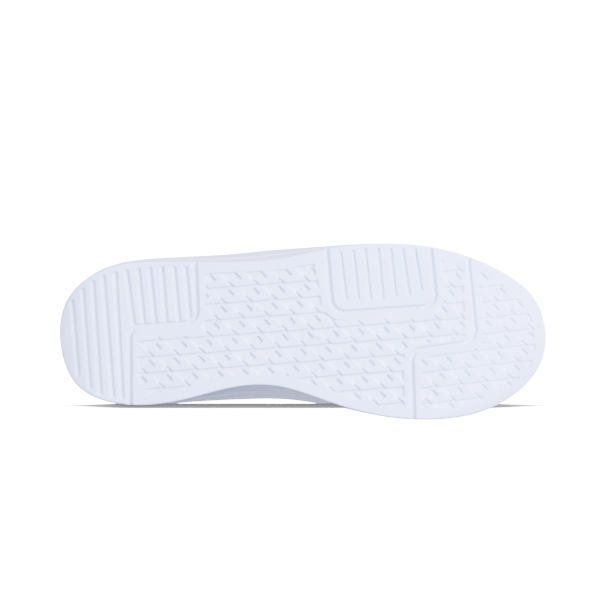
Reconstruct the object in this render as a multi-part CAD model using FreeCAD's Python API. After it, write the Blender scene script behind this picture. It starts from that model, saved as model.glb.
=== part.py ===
"""Right court shoe with a moulded rubber outsole, built as an assembly of its separate pieces.

Row frame, in millimetres: the shoe stands on its outsole with +Z up, the toe points along +X, the inner
(medial) side is +Y and the outer (lateral) side is -Y. The origin is under the middle of the outsole, on
the ground. Each piece is written to its own STEP file in parts/.

The outlines and the upper are closed loops that share one station number, `u`. It starts at the back of
the heel, runs forward along the lateral side to the toe tip at TOE_TIP and comes back along the medial
side, so a piece of the upper is a range of u and a range of k, where k is 0 at the sole and 1 at the edge
of the opening.
"""

import FreeCAD, Part
import math
import os

V = FreeCAD.Vector

# ---- driving dimensions ----
LENGTH = 300.0            # outsole, heel to toe
TOE_SPRING = 8.0          # rise of the outsole's tip over the ground
TOE_SPRING_FROM = 70.0    # where the toe starts to rise
HEEL_BEVEL = 3.5          # rise of the outsole's back edge
HEEL_BEVEL_FROM = -118.0  # where the heel bevel starts
OUTSOLE_FLOOR = 4.6       # rubber thickness under the midsole
OUTSOLE_LIP = 9.0         # height of the rubber on the side
LIP_WALL = 3.0            # thickness of that lip
MIDSOLE_PROUD = 0.45      # the midsole's wall stands out over the lip by this much
BOND = 0.1                # glue line between pieces of the sole
RIM_WALL = 5.0            # midsole wall round the upper
RIM_GAP = 0.8             # play between that wall and the upper
TREAD_DEPTH = 1.3         # recesses between the lugs
RIB_DEPTH = 1.4           # grooves of the heel and of the ball pad
FLEX_GROOVE_DEPTH = 1.8   # the three long grooves that bound the zones
STROBEL = 1.5             # insole board
SOCKLINER = 4.0           # removable footbed
SHELL = 1.3               # thickness of the vamp and the quarters
LINING_AT = 2.75          # depth of the lining's outer face under the shell's outer face
LINING = 0.9
FOAM_GAP = 0.4            # between the collar's foam and its lining
OVERLAY_FROM, OVERLAY_TO = 0.12, 1.35  # heights of the overlays over the shell's outer face
EYELET_HOLE, EYELET_BORE, EYELET_FLANGE = 2.6, 2.0, 3.9   # radii
EYELET_XS = [36.0 - 12.6 * row for row in range(6)]       # from the throat's base to the ankle
EYELET_K = 0.885          # how far up the eyestay the eyelets stand
BALL_X = 62.0             # where the forefoot bends

# ---- outline of the outsole on the ground, one row per station: x, y ----
OUTLINE = [
    (-150.0, 1.0), (-148.3, -12.3), (-142.4, -24.0), (-129.0, -35.4), (-110.1, -41.8), (-88.1, -42.9),
    (-65.0, -42.7), (-43.0, -42.6), (-19.2, -44.4), (3.0, -48.6), (27.0, -52.9), (53.0, -54.2),
    (77.0, -52.4), (101.6, -46.3), (125.0, -35.6), (143.0, -20.4), (150.0, 0.0), (147.5, 18.5),
    (137.0, 33.5), (120.0, 45.2), (100.0, 52.0), (77.0, 54.2), (53.0, 52.8), (30.0, 47.9),
    (9.0, 41.0), (-10.0, 35.0), (-29.0, 33.0), (-50.0, 36.0), (-72.0, 41.7), (-96.0, 45.3),
    (-119.0, 43.4), (-137.0, 35.0), (-147.0, 19.3),
]
STATIONS = len(OUTLINE)
TOE_TIP = 16

# How far the sidewall's top stands out past the outline: station, millimetres.
FLARE = [
    (0, -0.6), (2, -0.3), (3.4, 0.6), (5, 2.4), (7, 5.4), (8, 6.0), (9, 3.4), (10, 0.6), (11, -0.4),
    (14, -0.8), (16, -0.8), (19, -0.8), (22, -0.3), (23, 0.6), (24, 4.0), (25, 7.8), (26, 9.4),
    (27, 7.2), (28, 2.6), (29, 0.2), (31, -0.4),
]
FLARE_AT = [(-2.0, 0.0), (4.0, 0.12), (10.0, 0.5), (18.0, 0.85), (27.0, 1.0), (42.0, 1.0)]  # height, share

# Heights along the shoe: x, z
FOOTBED = [(-170, 23.5), (-120, 23.0), (-80, 21.8), (-30, 18.6), (20, 15.2), (60, 14.2), (95, 15.6),
           (125, 18.6), (148, 22.4), (170, 26.0)]
RIM = [(-170, 34.5), (-130, 33.0), (-80, 30.0), (-30, 27.6), (20, 25.6), (60, 25.2), (95, 26.4),
       (125, 29.2), (148, 32.6), (170, 36.0)]

# ---- the upper ----
# Edge of the opening, down the throat and round the ankle: station, x, y, z
OPENING = [
    (0, -139.0, 1.0, 91.0), (2, -131.0, -20.0, 88.5), (4, -108.0, -32.5, 79.5), (5.5, -82.0, -35.0, 74.0),
    (7, -55.0, -33.0, 79.0), (8.2, -34.0, -24.0, 94.5), (9.5, -3.0, -17.0, 86.0), (11, 27.0, -14.5, 76.0),
    (13, 41.5, -10.0, 71.2), (16, 48.0, 0.0, 69.0), (19, 41.5, 10.5, 71.2), (21, 27.0, 15.0, 76.0),
    (23, -3.0, 17.5, 86.0), (24.7, -34.0, 23.5, 94.5), (26.2, -55.0, 32.0, 80.0), (28, -82.0, 35.0, 75.5),
    (29.8, -108.0, 33.0, 80.5), (31.3, -131.0, 21.5, 88.5),
]
# Slope of the upper under that edge: station, then the way down the surface
TOP_HANDLE = [
    (0, -7.0, 0.0, -25.0), (2, -5.5, -5.0, -24.0), (4, -2.0, -8.0, -22.0), (5.5, 0.0, -9.0, -19.0),
    (7, 1.0, -10.0, -22.0), (8.2, 3.0, -15.0, -22.0), (9.5, 6.0, -18.0, -17.0), (11, 12.0, -21.0, -12.0),
    (13, 36.0, -20.0, -5.0), (16, 62.0, 0.0, -7.0), (19, 36.0, 21.0, -5.0), (21, 12.0, 21.0, -12.0),
    (23, 6.0, 18.0, -17.0), (24.7, 3.0, 16.0, -22.0), (26.2, 1.0, 13.0, -22.0), (28, 0.0, 11.0, -19.0),
    (29.8, -2.0, 9.0, -22.0), (31.3, -5.5, 5.0, -24.0),
]
# How the upper leaves the sole: station, lean outwards, rise
FOOT_HANDLE = [(0, 3.0, 27.0), (4, 2.0, 25.0), (8, 1.5, 23.0), (12, 1.5, 21.0), (16, 2.0, 22.0),
               (20, 1.5, 21.0), (25, 2.0, 23.0), (29, 2.0, 25.0)]

# ---- tongue, along its crown from the vamp to its tip: x, z, half width, crown radius, thickness ----
TONGUE = [
    (56.0, 60.2, 20.0, 44.0, 2.2), (48.0, 62.6, 21.5, 40.0, 2.6), (27.0, 71.4, 22.5, 34.0, 4.4),
    (-3.0, 82.4, 23.5, 31.0, 5.4), (-33.0, 94.0, 24.5, 32.0, 6.0), (-50.0, 103.8, 25.5, 36.0, 6.4),
    (-62.0, 114.5, 25.0, 40.0, 6.0),
]

# ---- tread ----
# Lattice of the lugs, and one lug about its lattice point. Each zone has its own first lug and tilt.
LUG_ALONG = 15.6
LUG_ACROSS = (-4.45, 10.2)
LUG = [(-5.9, -4.1), (-2.2, -0.2), (-9.9, 0.6), (-6.4, 4.1), (5.6, 3.6), (6.7, 2.2), (-2.1, -5.3)]
MID_ZONE = [
    (-102.3, 3.9), (-59.8, 2.2), (-62.8, -4.0), (-60.1, -8.3), (-60.1, -34.8), (-57.3, -36.0),
    (-35.1, -36.8), (-10.5, -38.5), (6.8, -41.8), (8.0, -36.5), (10.2, -26.2), (11.5, -16.7),
    (13.4, -12.0), (19.7, -7.3), (33.9, -6.8), (65.6, -8.4), (79.5, -10.4), (86.2, -18.8),
    (85.8, -28.0), (85.0, -37.3), (92.0, -41.8), (98.4, -38.8), (98.6, -28.0), (99.6, -8.9),
    (100.0, 3.0), (87.4, 6.2), (67.6, 7.4), (62.5, 11.4), (61.9, 25.6), (62.5, 46.5), (45.0, 45.4),
    (23.7, 38.9), (4.8, 32.2), (-10.5, 27.1), (-36.3, 26.8), (-50.8, 28.3), (-68.6, 33.4),
    (-88.7, 37.8), (-94.4, 38.1), (-99.9, 33.3), (-102.3, 24.9),
]
TOE_ZONE = [
    (108.1, -36.0), (112.7, -35.7), (123.0, -28.6), (133.2, -19.9), (141.1, -8.8), (143.8, 2.2),
    (142.7, 16.4), (138.7, 24.3), (128.7, 33.6), (118.2, 39.4), (102.9, 44.0), (89.8, 47.2),
    (72.4, 46.8), (72.4, 17.2), (77.1, 15.3), (104.0, 11.3), (111.1, 6.2), (109.6, -18.3),
    (108.1, -28.6),
]
MID_LUGS = ((-29.2, -13.2), -4.1)   # a lug's place, and the tilt of its row in degrees
TOE_LUGS = ((122.9, -13.6), -6.2)
# The long grooves: points with the radius of the corner at each, and the width
HEEL_GROOVE = ([(-67.0, -50.0, 0), (-64.9, -5.6, 8), (-106.6, -3.0, 7), (-106.5, 50.0, 0)], 3.2)
PAD_GROOVE = ([(13.9, -56.0, 0), (18.0, -11.2, 9), (82.0, -15.6, 8), (77.6, -56.0, 0)], 3.0)
TOE_GROOVE = ([(100.8, -50.0, 0), (106.6, 6.2, 8), (66.4, 11.9, 7), (68.0, 58.0, 0)], 3.2)
# Ribs: x at the lateral end, y there, x at the medial end, y there
HEEL_RIBS = [
    (-142.3, -18.8, -138.3, 27.4), (-135.8, -26.2, -131.2, 34.8), (-129.4, -30.8, -124.7, 38.2),
    (-122.9, -33.9, -117.0, 40.0), (-115.6, -36.3, -111.3, 40.7), (-108.7, -37.4, -104.3, -8.0),
    (-101.5, -38.2, -97.9, -6.8), (-94.4, -38.9, -90.9, -7.2), (-87.0, -39.4, -84.2, -7.4),
    (-79.5, -39.6, -76.3, -7.6), (-72.4, -39.6, -69.6, -9.4),
]
HEEL_RIB_WIDTH = 3.6
PAD_RIBS = [
    (23.0, -48.4, 26.5, -19.9), (30.8, -49.5, 34.0, -19.9), (38.0, -50.4, 41.5, -19.9),
    (46.2, -50.7, 49.0, -20.6), (53.8, -50.7, 56.9, -22.2), (61.2, -50.5, 65.2, -22.7),
    (68.8, -50.0, 72.8, -25.4),
]
PAD_RIB_WIDTH = 1.9


# ---- small helpers ----
def solve(rows):
    """Solves a small dense linear system given as rows of coefficients with the right-hand side last."""
    n = len(rows)
    for i in range(n):
        pivot = max(range(i, n), key=lambda r: abs(rows[r][i]))
        rows[i], rows[pivot] = rows[pivot], rows[i]
        for r in range(n):
            if r != i and rows[r][i]:
                share = rows[r][i] / rows[i][i]
                rows[r] = [a - share * b for a, b in zip(rows[r], rows[i])]
    return [rows[i][n] / rows[i][i] for i in range(n)]


def loop_spline(points, period):
    """A smooth periodic curve through (station, value) rows, as a function of the station."""
    at = [p[0] for p in points] + [points[0][0] + period]
    value = [p[1] for p in points] + [points[0][1]]
    n = len(points)
    step = [at[i + 1] - at[i] for i in range(n)]
    rows = []
    for i in range(n):
        before, after = step[i - 1], step[i]
        row = [0.0] * (n + 1)
        row[i - 1] += before
        row[i] += 2 * (before + after)
        row[(i + 1) % n] += after
        row[n] = 6 * ((value[i + 1] - value[i]) / after - (value[i] - value[i - 1 if i else n - 1]) / before)
        rows.append(row)
    bend = solve(rows)
    bend.append(bend[0])

    def curve(u):
        u = at[0] + (u - at[0]) % period
        i = max(j for j in range(n) if at[j] <= u)
        h, a, b = step[i], at[i + 1] - u, u - at[i]
        return ((bend[i] * a ** 3 + bend[i + 1] * b ** 3) / (6 * h)
                + (value[i] / h - bend[i] * h / 6) * a + (value[i + 1] / h - bend[i + 1] * h / 6) * b)

    return curve


def loop_vector(rows):
    """The same for rows of a station and two or three coordinates."""
    curves = [loop_spline([(r[0], r[i]) for r in rows], STATIONS) for i in range(1, len(rows[0]))]
    return lambda u: V(*[c(u) for c in curves])


def open_spline(points):
    """A smooth function through (x, value) rows, straight at its ends."""
    n = len(points)
    x, y = [p[0] for p in points], [p[1] for p in points]
    rows = [[1.0] + [0.0] * n] + [None] * (n - 2) + [[0.0] * (n - 1) + [1.0, 0.0]]
    for i in range(1, n - 1):
        before, after = x[i] - x[i - 1], x[i + 1] - x[i]
        row = [0.0] * (n + 1)
        row[i - 1], row[i], row[i + 1] = before, 2 * (before + after), after
        row[n] = 6 * ((y[i + 1] - y[i]) / after - (y[i] - y[i - 1]) / before)
        rows[i] = row
    bend = solve(rows)

    def curve(t):
        i = max([j for j in range(n - 1) if x[j] <= t] or [0])
        h, a, b = x[i + 1] - x[i], x[i + 1] - t, t - x[i]
        return ((bend[i] * a ** 3 + bend[i + 1] * b ** 3) / (6 * h)
                + (y[i] / h - bend[i] * h / 6) * a + (y[i + 1] / h - bend[i + 1] * h / 6) * b)

    return curve


def ramp(low, high, t):
    """0 below low, 1 above high, and smooth between."""
    t = max(0.0, min(1.0, (t - low) / (high - low)))
    return t * t * (3 - 2 * t)


def interpolated(points, closed=False):
    """A smooth curve. Closed ones are evenly parametrised, so that a loft through them stays light."""
    curve = Part.BSplineCurve()
    if closed:
        curve.interpolate(points, PeriodicFlag=True, Parameters=[float(i) for i in range(len(points) + 1)])
    else:
        curve.interpolate(points)
    return curve.toShape()


def polygon_face(points, z=0.0):
    corners = [V(x, y, z) for x, y in points]
    return Part.Face(Part.makePolygon(corners + corners[:1]))


def biggest(shape):
    """The largest solid of a shape, without the crumbs that a cut can leave."""
    return max(shape.Solids, key=lambda s: s.Volume)


# ---- heights ----
footbed = open_spline(FOOTBED)
rim = open_spline(RIM)


def ground(x):
    """Height of the outsole's underside."""
    toe = max(0.0, x - TOE_SPRING_FROM) / (LENGTH / 2 - TOE_SPRING_FROM)
    heel = max(0.0, HEEL_BEVEL_FROM - x) / (LENGTH / 2 + HEEL_BEVEL_FROM)
    return TOE_SPRING * toe ** 2 + HEEL_BEVEL * heel ** 2


def side_line(height):
    """Edges of a height profile in the XZ plane, flat where the sole stands on the ground."""
    if height.__name__ != "curve":
        heel = [-LENGTH / 2 - 12 + i * (HEEL_BEVEL_FROM + LENGTH / 2 + 12) / 6 for i in range(7)]
        toe = [TOE_SPRING_FROM + i * (LENGTH / 2 + 12 - TOE_SPRING_FROM) / 8 for i in range(9)]
        ends = [V(x, 0, height(x)) for x in (heel[-1], toe[0])]
        return [interpolated([V(x, 0, height(x)) for x in heel]), Part.LineSegment(*ends).toShape(),
                interpolated([V(x, 0, height(x)) for x in toe])]
    reach = LENGTH / 2 + 12
    xs = [-reach + i * 2 * reach / 24 for i in range(25)]
    return [interpolated([V(x, 0, height(x)) for x in xs])]


def between(low, high):
    """A wide block between two height profiles, each a function of x."""
    under, over = side_line(low), side_line(high)
    ends = [(under[0].Vertexes[0].Point, over[0].Vertexes[0].Point),
            (under[-1].Vertexes[-1].Point, over[-1].Vertexes[-1].Point)]
    sides = [Part.LineSegment(a, b).toShape() for a, b in ends]
    face = Part.Face(Part.Wire(Part.__sortEdges__(under + over + sides)))
    block = face.extrude(V(0, 160, 0))
    block.translate(V(0, -80, 0))
    return block


def raised(height, by):
    """The same profile, higher."""
    def lifted(x):
        return height(x) + by
    if height.__name__ == "curve":
        lifted.__name__ = "curve"
    return lifted


# ---- outlines ----
outline = loop_vector([(i, x, y, 0.0) for i, (x, y) in enumerate(OUTLINE)])
flare = loop_spline(FLARE, STATIONS)
flare_share = open_spline(FLARE_AT)


def outwards(u):
    """Level direction that points out of the outline at station u."""
    along = outline(u + 0.05) - outline(u - 0.05)
    return V(along.y, -along.x, 0).normalize()


def sidewall(u, height, inset=0.0):
    """A point of the sole's side at a height over the ground, or inside it by inset."""
    point = outline(u) + outwards(u) * (flare(u) * flare_share(height) - inset)
    return V(point.x, point.y, height)


def ring(height, inset=0.0, per_station=2):
    count = STATIONS * per_station
    points = [sidewall(i / per_station, height, inset) for i in range(count)]
    return Part.Wire([interpolated(points, closed=True)])


def sole_blank(inset=0.0):
    heights = [-2.0, 4.0, 10.0, 18.0, 27.0, 42.0]
    return Part.makeLoft([ring(z, inset) for z in heights], True, False)


def foot_point(u, inset=0.0):
    """Where the upper's outer face meets the footbed."""
    point = sidewall(u, 42.0, RIM_WALL + inset)
    return V(point.x, point.y, 0)


def foot_block(inset, low, high):
    """A block of the foot's outline between two height profiles."""
    points = [foot_point(i / 2, inset) for i in range(STATIONS * 2)]
    face = Part.Face(Part.Wire([interpolated(points, closed=True)]))
    return biggest(face.extrude(V(0, 0, 80)).common(between(low, high)))


# ---- tread ----
def band(path, width):
    """A face of constant width along a path whose corners are rounded."""
    points, step = [], math.radians(10)
    for i, (x, y, radius) in enumerate(path):
        here = V(x, y, 0)
        if not radius:
            points.append(here)
            continue
        back = (V(*path[i - 1][:2], 0) - here).normalize()
        on = (V(*path[i + 1][:2], 0) - here).normalize()
        half = back.getAngle(on) / 2
        middle = here + (back + on).normalize() * (radius / math.sin(half))
        start, end = here + back * (radius / math.tan(half)), here + on * (radius / math.tan(half))
        first, last = start - middle, end - middle
        turn = first.getAngle(last) * (1 if first.cross(last).z > 0 else -1)
        count = max(2, round(abs(turn) / step))
        for j in range(count + 1):
            a = turn * j / count
            points.append(middle + V(first.x * math.cos(a) - first.y * math.sin(a),
                                     first.x * math.sin(a) + first.y * math.cos(a), 0))
    left, right = [], []
    for i, p in enumerate(points):
        along = points[min(i + 1, len(points) - 1)] - points[max(i - 1, 0)]
        side = V(-along.y, along.x, 0).normalize() * (width / 2)
        left.append(p + side)
        right.append(p - side)
    return Part.Face(Part.makePolygon(left + right[::-1] + left[:1]))


def rib(row, width):
    """A straight groove with round ends."""
    x0, y0, x1, y1 = row
    start, end = V(x0, y0, 0), V(x1, y1, 0)
    along = (end - start).normalize()
    side = V(-along.y, along.x, 0) * (width / 2)
    edges = [
        Part.LineSegment(start + side, end + side), Part.Arc(end + side, end + along * (width / 2), end - side),
        Part.LineSegment(end - side, start - side), Part.Arc(start - side, start - along * (width / 2), start + side),
    ]
    return Part.Face(Part.Wire([e.toShape() for e in edges]))


def lugs(first, tilt, zone):
    """The lugs of a zone, as faces: the lattice is laid out from one lug over the whole zone."""
    cos, sin = math.cos(math.radians(tilt)), math.sin(math.radians(tilt))
    xs, ys = [p[0] for p in zone], [p[1] for p in zone]
    faces = []
    for row in range(-12, 13):
        for column in range(-16, 17):
            x = first[0] + column * LUG_ALONG * cos + row * LUG_ACROSS[0]
            y = first[1] + column * LUG_ALONG * sin + row * LUG_ACROSS[1]
            if min(xs) - 12 < x < max(xs) + 12 and min(ys) - 8 < y < max(ys) + 8:
                faces.append(polygon_face([(x + cos * a - sin * b, y + sin * a + cos * b) for a, b in LUG]))
    return faces


def tread():
    """Everything that is cut out of the outsole's underside."""
    def sunk(faces, depth):
        block = Part.makeCompound([f.extrude(V(0, 0, 20)) for f in faces])
        block.translate(V(0, 0, -2))
        return block.common(between(raised(ground, -3), raised(ground, depth)))

    pockets = [polygon_face(zone).cut(Part.makeCompound(lugs(*start, zone)))
               for zone, start in ((MID_ZONE, MID_LUGS), (TOE_ZONE, TOE_LUGS))]
    ribs = [rib(r, HEEL_RIB_WIDTH) for r in HEEL_RIBS] + [rib(r, PAD_RIB_WIDTH) for r in PAD_RIBS]
    grooves = [band(*g) for g in (HEEL_GROOVE, PAD_GROOVE, TOE_GROOVE)]
    return [sunk([f for p in pockets for f in p.Faces], TREAD_DEPTH), sunk(ribs, RIB_DEPTH),
            sunk(grooves, FLEX_GROOVE_DEPTH)]


# ---- sole pieces ----
def outsole():
    """Rubber cup that stands on the ground: floor, low lip and tread."""
    body = sole_blank().common(between(ground, raised(ground, OUTSOLE_LIP)))
    well = sole_blank(LIP_WALL).common(between(raised(ground, OUTSOLE_FLOOR), raised(ground, 30)))
    body = biggest(body.cut(well))
    for cut in tread():
        body = body.cut(cut)
    return biggest(body)


def midsole():
    """Foam body that fills the outsole and rises round the upper, with a pocket for the shank."""
    wall = sole_blank(-MIDSOLE_PROUD).common(between(raised(ground, OUTSOLE_LIP + BOND), rim))
    plug = sole_blank(LIP_WALL + BOND).common(
        between(raised(ground, OUTSOLE_FLOOR + BOND), raised(ground, OUTSOLE_LIP + 2)))
    body = biggest(wall.fuse(plug))
    body = biggest(body.cut(foot_block(-RIM_GAP, footbed, raised(footbed, 40))))
    return biggest(body.cut(shank_block(SHANK_PLAY)))


SHANK_X = (-96.0, 14.0)
SHANK_HALF = 16.0
SHANK_THICK = 1.6
SHANK_PLAY = 0.1


def shank_block(play):
    """The shank's shape, waisted, grown by play on every side."""
    x0, x1 = SHANK_X[0] - play, SHANK_X[1] + play
    half = SHANK_HALF + play
    points = [V(x0, -half, 0), V((x0 + x1) / 2, -half * 0.72, 0), V(x1, -half, 0)]
    edges = [Part.Arc(points[0], points[1], points[2]), Part.LineSegment(points[2], V(x1, half, 0)),
             Part.Arc(V(x1, half, 0), V((x0 + x1) / 2, half * 0.72, 0), V(x0, half, 0)),
             Part.LineSegment(V(x0, half, 0), points[0])]
    bottom = OUTSOLE_FLOOR + BOND + (0.0 if play else SHANK_PLAY)
    if play:
        bottom -= 0.5
    top = OUTSOLE_FLOOR + BOND + SHANK_PLAY + SHANK_THICK + play
    block = Part.Face(Part.Wire([e.toShape() for e in edges])).extrude(V(0, 0, top - bottom))
    block.translate(V(0, -2.5, bottom))
    return block


def sockliner():
    """Removable footbed, dished, so that its edge stands higher at the heel."""
    slab = foot_block(LINING_AT + LINING + 0.9, raised(footbed, STROBEL + 0.15),
                      raised(footbed, STROBEL + 0.15 + SOCKLINER))
    dish = Part.makeSphere(150)
    dish.translate(V(-95, 0, footbed(-95) + STROBEL + SOCKLINER + 148.8))
    return biggest(slab.cut(dish))


# ---- the upper's surface ----
opening = loop_vector(OPENING)
top_handle = loop_vector(TOP_HANDLE)
foot_handle = loop_vector([(u, lean, rise, 0.0) for u, lean, rise in FOOT_HANDLE])


def upper_point(u, k):
    """A point of the shell's outer face."""
    low = foot_point(u)
    low.z = footbed(low.x) + STROBEL + 0.2
    lean, rise = foot_handle(u).x, foot_handle(u).y
    high = opening(u)
    a, b = low + outwards(u) * lean + V(0, 0, rise), high + top_handle(u)
    j = 1 - k
    return low * j ** 3 + a * (3 * j * j * k) + b * (3 * j * k * k) + high * k ** 3


def upper_normal(u, k):
    e = 0.01
    along = upper_point(u + e, k) - upper_point(u - e, k)
    up = upper_point(u, k + e) - upper_point(u, k - e)
    return along.cross(up).normalize()


def amount(value, u, k):
    return value(u, k) if callable(value) else value


def solid_between(outer, inner):
    """A solid between two faces, each given as a grid of points of the same shape."""
    faces, rims = [], []
    for grid in (outer, inner):
        surface = Part.BSplineSurface()
        surface.interpolate(grid)
        faces.append(surface.toShape())
        u0, u1, v0, v1 = surface.bounds()
        rims.append([surface.uIso(u0), surface.uIso(u1), surface.vIso(v0), surface.vIso(v1)])
    for a, b in zip(*rims):
        faces.append(Part.makeRuledSurface(a.toShape(), b.toShape()))
    shell = Part.makeShell(faces)
    shell.sewShape()
    solid = Part.makeSolid(shell)
    if solid.Volume < 0:
        solid.reverse()
    return solid


def panel(u0, u1, low, high, inner, outer, across=8, per_station=2.0):
    """A piece of the upper: stations u0 to u1, from k = low to high, between two offsets from the shell."""
    count = max(6, round((u1 - u0) * per_station))
    grids = []
    for offset in (outer, inner):
        grid = []
        for i in range(count + 1):
            u = u0 + (u1 - u0) * i / count
            lo, hi = amount(low, u, 0), amount(high, u, 0)
            ks = [lo + (hi - lo) * j / across for j in range(across + 1)]
            grid.append([upper_point(u, k) + upper_normal(u, k) * amount(offset, u, k) for k in ks])
        grids.append(grid)
    return solid_between(*grids)


def station_at(x, k, low, high):
    """The station between low and high where the upper at height k is at x."""
    rising = upper_point(low, k).x < upper_point(high, k).x
    for _ in range(40):
        middle = (low + high) / 2
        if (upper_point(middle, k).x < x) == rising:
            low = middle
        else:
            high = middle
    return (low + high) / 2


def padding(u, k):
    """Extra depth of the collar's foam under the shell: full round the ankle, none along the throat."""
    u = u % STATIONS
    ankle = 1 - ramp(6.4, 8.0, u) if u < TOE_TIP else ramp(24.9, 26.5, u)
    return 6.0 * ankle * ramp(0.42, 0.76, k) * (1 - 0.55 * ramp(0.7, 1.0, k))


VAMP_SEAM = (11.55, 20.5)    # stations where the vamp meets the quarters
SEAM_GAP = 0.02


def eyelet_frames():
    """Place, outward direction and station of every eyelet, row by row: lateral, then medial."""
    rows = []
    for x in EYELET_XS:
        pair = []
        for low, high in ((8.0, 13.6), (25.0, 18.6)):
            u = station_at(x, EYELET_K, low, high)
            pair.append((upper_point(u, EYELET_K), upper_normal(u, EYELET_K), u))
        rows.append(pair)
    return rows


EYELETS = eyelet_frames()


def punched(piece):
    """A piece with the eyelet holes through it."""
    pins = [Part.makeCylinder(EYELET_HOLE, 11, at - out * 7, out) for pair in EYELETS for at, out, _ in pair]
    near = [p for p in pins if p.BoundBox.intersect(piece.BoundBox)]
    return biggest(piece.cut(Part.makeCompound(near)))


def vamp():
    return punched(panel(VAMP_SEAM[0] + SEAM_GAP, VAMP_SEAM[1] - SEAM_GAP, 0.0, 1.0, -SHELL, 0.0, 10, 3))


def vamp_lining():
    return punched(panel(VAMP_SEAM[0] + SEAM_GAP, VAMP_SEAM[1] - SEAM_GAP, 0.01, 1.0,
                         -LINING_AT - LINING, -LINING_AT, 10, 3))


def quarter_lateral():
    return punched(panel(0.04, VAMP_SEAM[0] - SEAM_GAP, 0.0, 1.0, -SHELL, 0.0))


def quarter_medial():
    return punched(panel(VAMP_SEAM[1] + SEAM_GAP, STATIONS - 0.04, 0.0, 1.0, -SHELL, 0.0))


def quarter_lining():
    """One lining round the heel, which follows the collar's padding."""
    def face(depth):
        return lambda u, k: -depth - padding(u, k)
    return punched(panel(VAMP_SEAM[1] + SEAM_GAP, STATIONS + VAMP_SEAM[0] - SEAM_GAP, 0.01, 1.0,
                         face(LINING_AT + LINING), face(LINING_AT), 20, 3))


def collar_foam():
    """Padding between the quarters and their lining, round the ankle."""
    return panel(25.9, STATIONS + 6.9, 0.52, 0.995, lambda u, k: -LINING_AT + FOAM_GAP - padding(u, k),
                 -SHELL - 0.1, 12, 3)


def heel_counter():
    """Stiff cup between the quarters and their lining, under the collar's foam."""
    def top(u, k):
        return 0.5 - 0.2 * ramp(2.0, 5.0, abs(u - STATIONS))
    return panel(STATIONS - 5.0, STATIONS + 5.0, 0.01, top, -LINING_AT + 0.12, -SHELL - 0.1, 6)


def above_rim(u, k=0.0):
    """How far up the upper an overlay starts, to stay over the midsole's rim."""
    low, high = 0.0, 0.5
    for _ in range(24):
        middle = (low + high) / 2
        point = upper_point(u, middle)
        if point.z < rim(point.x) + 0.5:
            low = middle
        else:
            high = middle
    return high


def toe_edge(peak, foot, reach):
    """Height of a toe piece's back edge, which falls to the sole on both sides of the toe."""
    return lambda u, k: foot + (peak - foot) * (1 - ramp(0.4, reach, abs(u - TOE_TIP)))


def toe_puff():
    """Stiffener that keeps the toe box's shape."""
    return panel(13.4, 18.7, 0.02, toe_edge(0.42, 0.2, 2.5), -LINING_AT + 0.12, -SHELL - 0.1, 6, 4)


def toe_cap():
    return panel(13.0, 19.1, above_rim, toe_edge(0.52, 0.25, 3.0), OVERLAY_FROM, OVERLAY_TO, 8, 4)


def eyestay(u0, u1, corner):
    """Reinforced facing that carries a side's eyelets, from the top corner round to the throat's middle."""
    def outer_edge(u, k):
        front = ramp(11.4, 16.0, TOE_TIP - abs(u - TOE_TIP))
        return 0.72 + 0.175 * front + 0.12 * (1 - ramp(0.0, 0.8, abs(u - corner)))
    return punched(panel(u0, u1, outer_edge, 1.0, OVERLAY_FROM, OVERLAY_TO, 6, 3))


def foxing(u0, u1, back):
    """Overlay along the sole's edge, from the heel forward."""
    def top(u, k):
        return 0.27 + 0.27 * (1 - ramp(1.5, 5.5, abs(u - back)))
    return panel(u0, u1, above_rim, top, OVERLAY_FROM, OVERLAY_TO, 6)


def heel_tab():
    """Patch over the back seam, up to the collar."""
    return panel(STATIONS - 1.5, STATIONS + 1.5, 0.64, 1.0, OVERLAY_FROM, OVERLAY_TO, 6, 3)


def side_bar(u0, u1, lean):
    """Plain slanting reinforcement on a quarter's side."""
    def low(u, k):
        return 0.24
    def high(u, k):
        return 0.66
    count, across, grids = 8, 8, []
    for offset in (OVERLAY_TO, OVERLAY_FROM):
        grid = []
        for i in range(count + 1):
            column = []
            for j in range(across + 1):
                t = j / across
                k = low(0, 0) + (high(0, 0) - low(0, 0)) * t
                u = u0 + (u1 - u0) * i / count + lean * t
                column.append(upper_point(u, k) + upper_normal(u, k) * offset)
            grid.append(column)
        grids.append(grid)
    return solid_between(*grids)


# ---- tongue ----
TONGUE_CURVES = [open_spline([(i, row[c]) for i, row in enumerate(TONGUE)]) for c in range(5)]


def tongue_point(s, t, depth):
    """s runs from the vamp to the tip, t from -1 on the lateral edge to 1, depth is under the crown."""
    x, z, half, radius, _ = [c(s) for c in TONGUE_CURVES]
    dx, dz = [TONGUE_CURVES[i](s + 0.01) - TONGUE_CURVES[i](s - 0.01) for i in (0, 1)]
    size = math.hypot(dx, dz)
    up = V(dz / size, 0, -dx / size)
    if up.z < 0:
        up = up * -1
    angle = t * half / radius
    reach = radius - depth
    return V(x, 0, z) - up * radius + up * (reach * math.cos(angle)) + V(0, reach * math.sin(angle), 0)


def tongue_layer(top, bottom, first=0.0, last=None, edge=1.0):
    """A layer of the tongue between two shares of its thickness."""
    last = len(TONGUE) - 1 if last is None else last
    grids = []
    for share in (top, bottom):
        grid = []
        for i in range(17):
            s = first + (last - first) * i / 16
            row = []
            for j in range(11):
                t = -1 + 2 * j / 10
                thick = TONGUE_CURVES[4](s) * (1 - 0.55 * abs(t) ** 4)
                row.append(tongue_point(s, t * edge, thick * share))
            grid.append(row)
        grids.append(grid)
    return solid_between(*grids)


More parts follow.
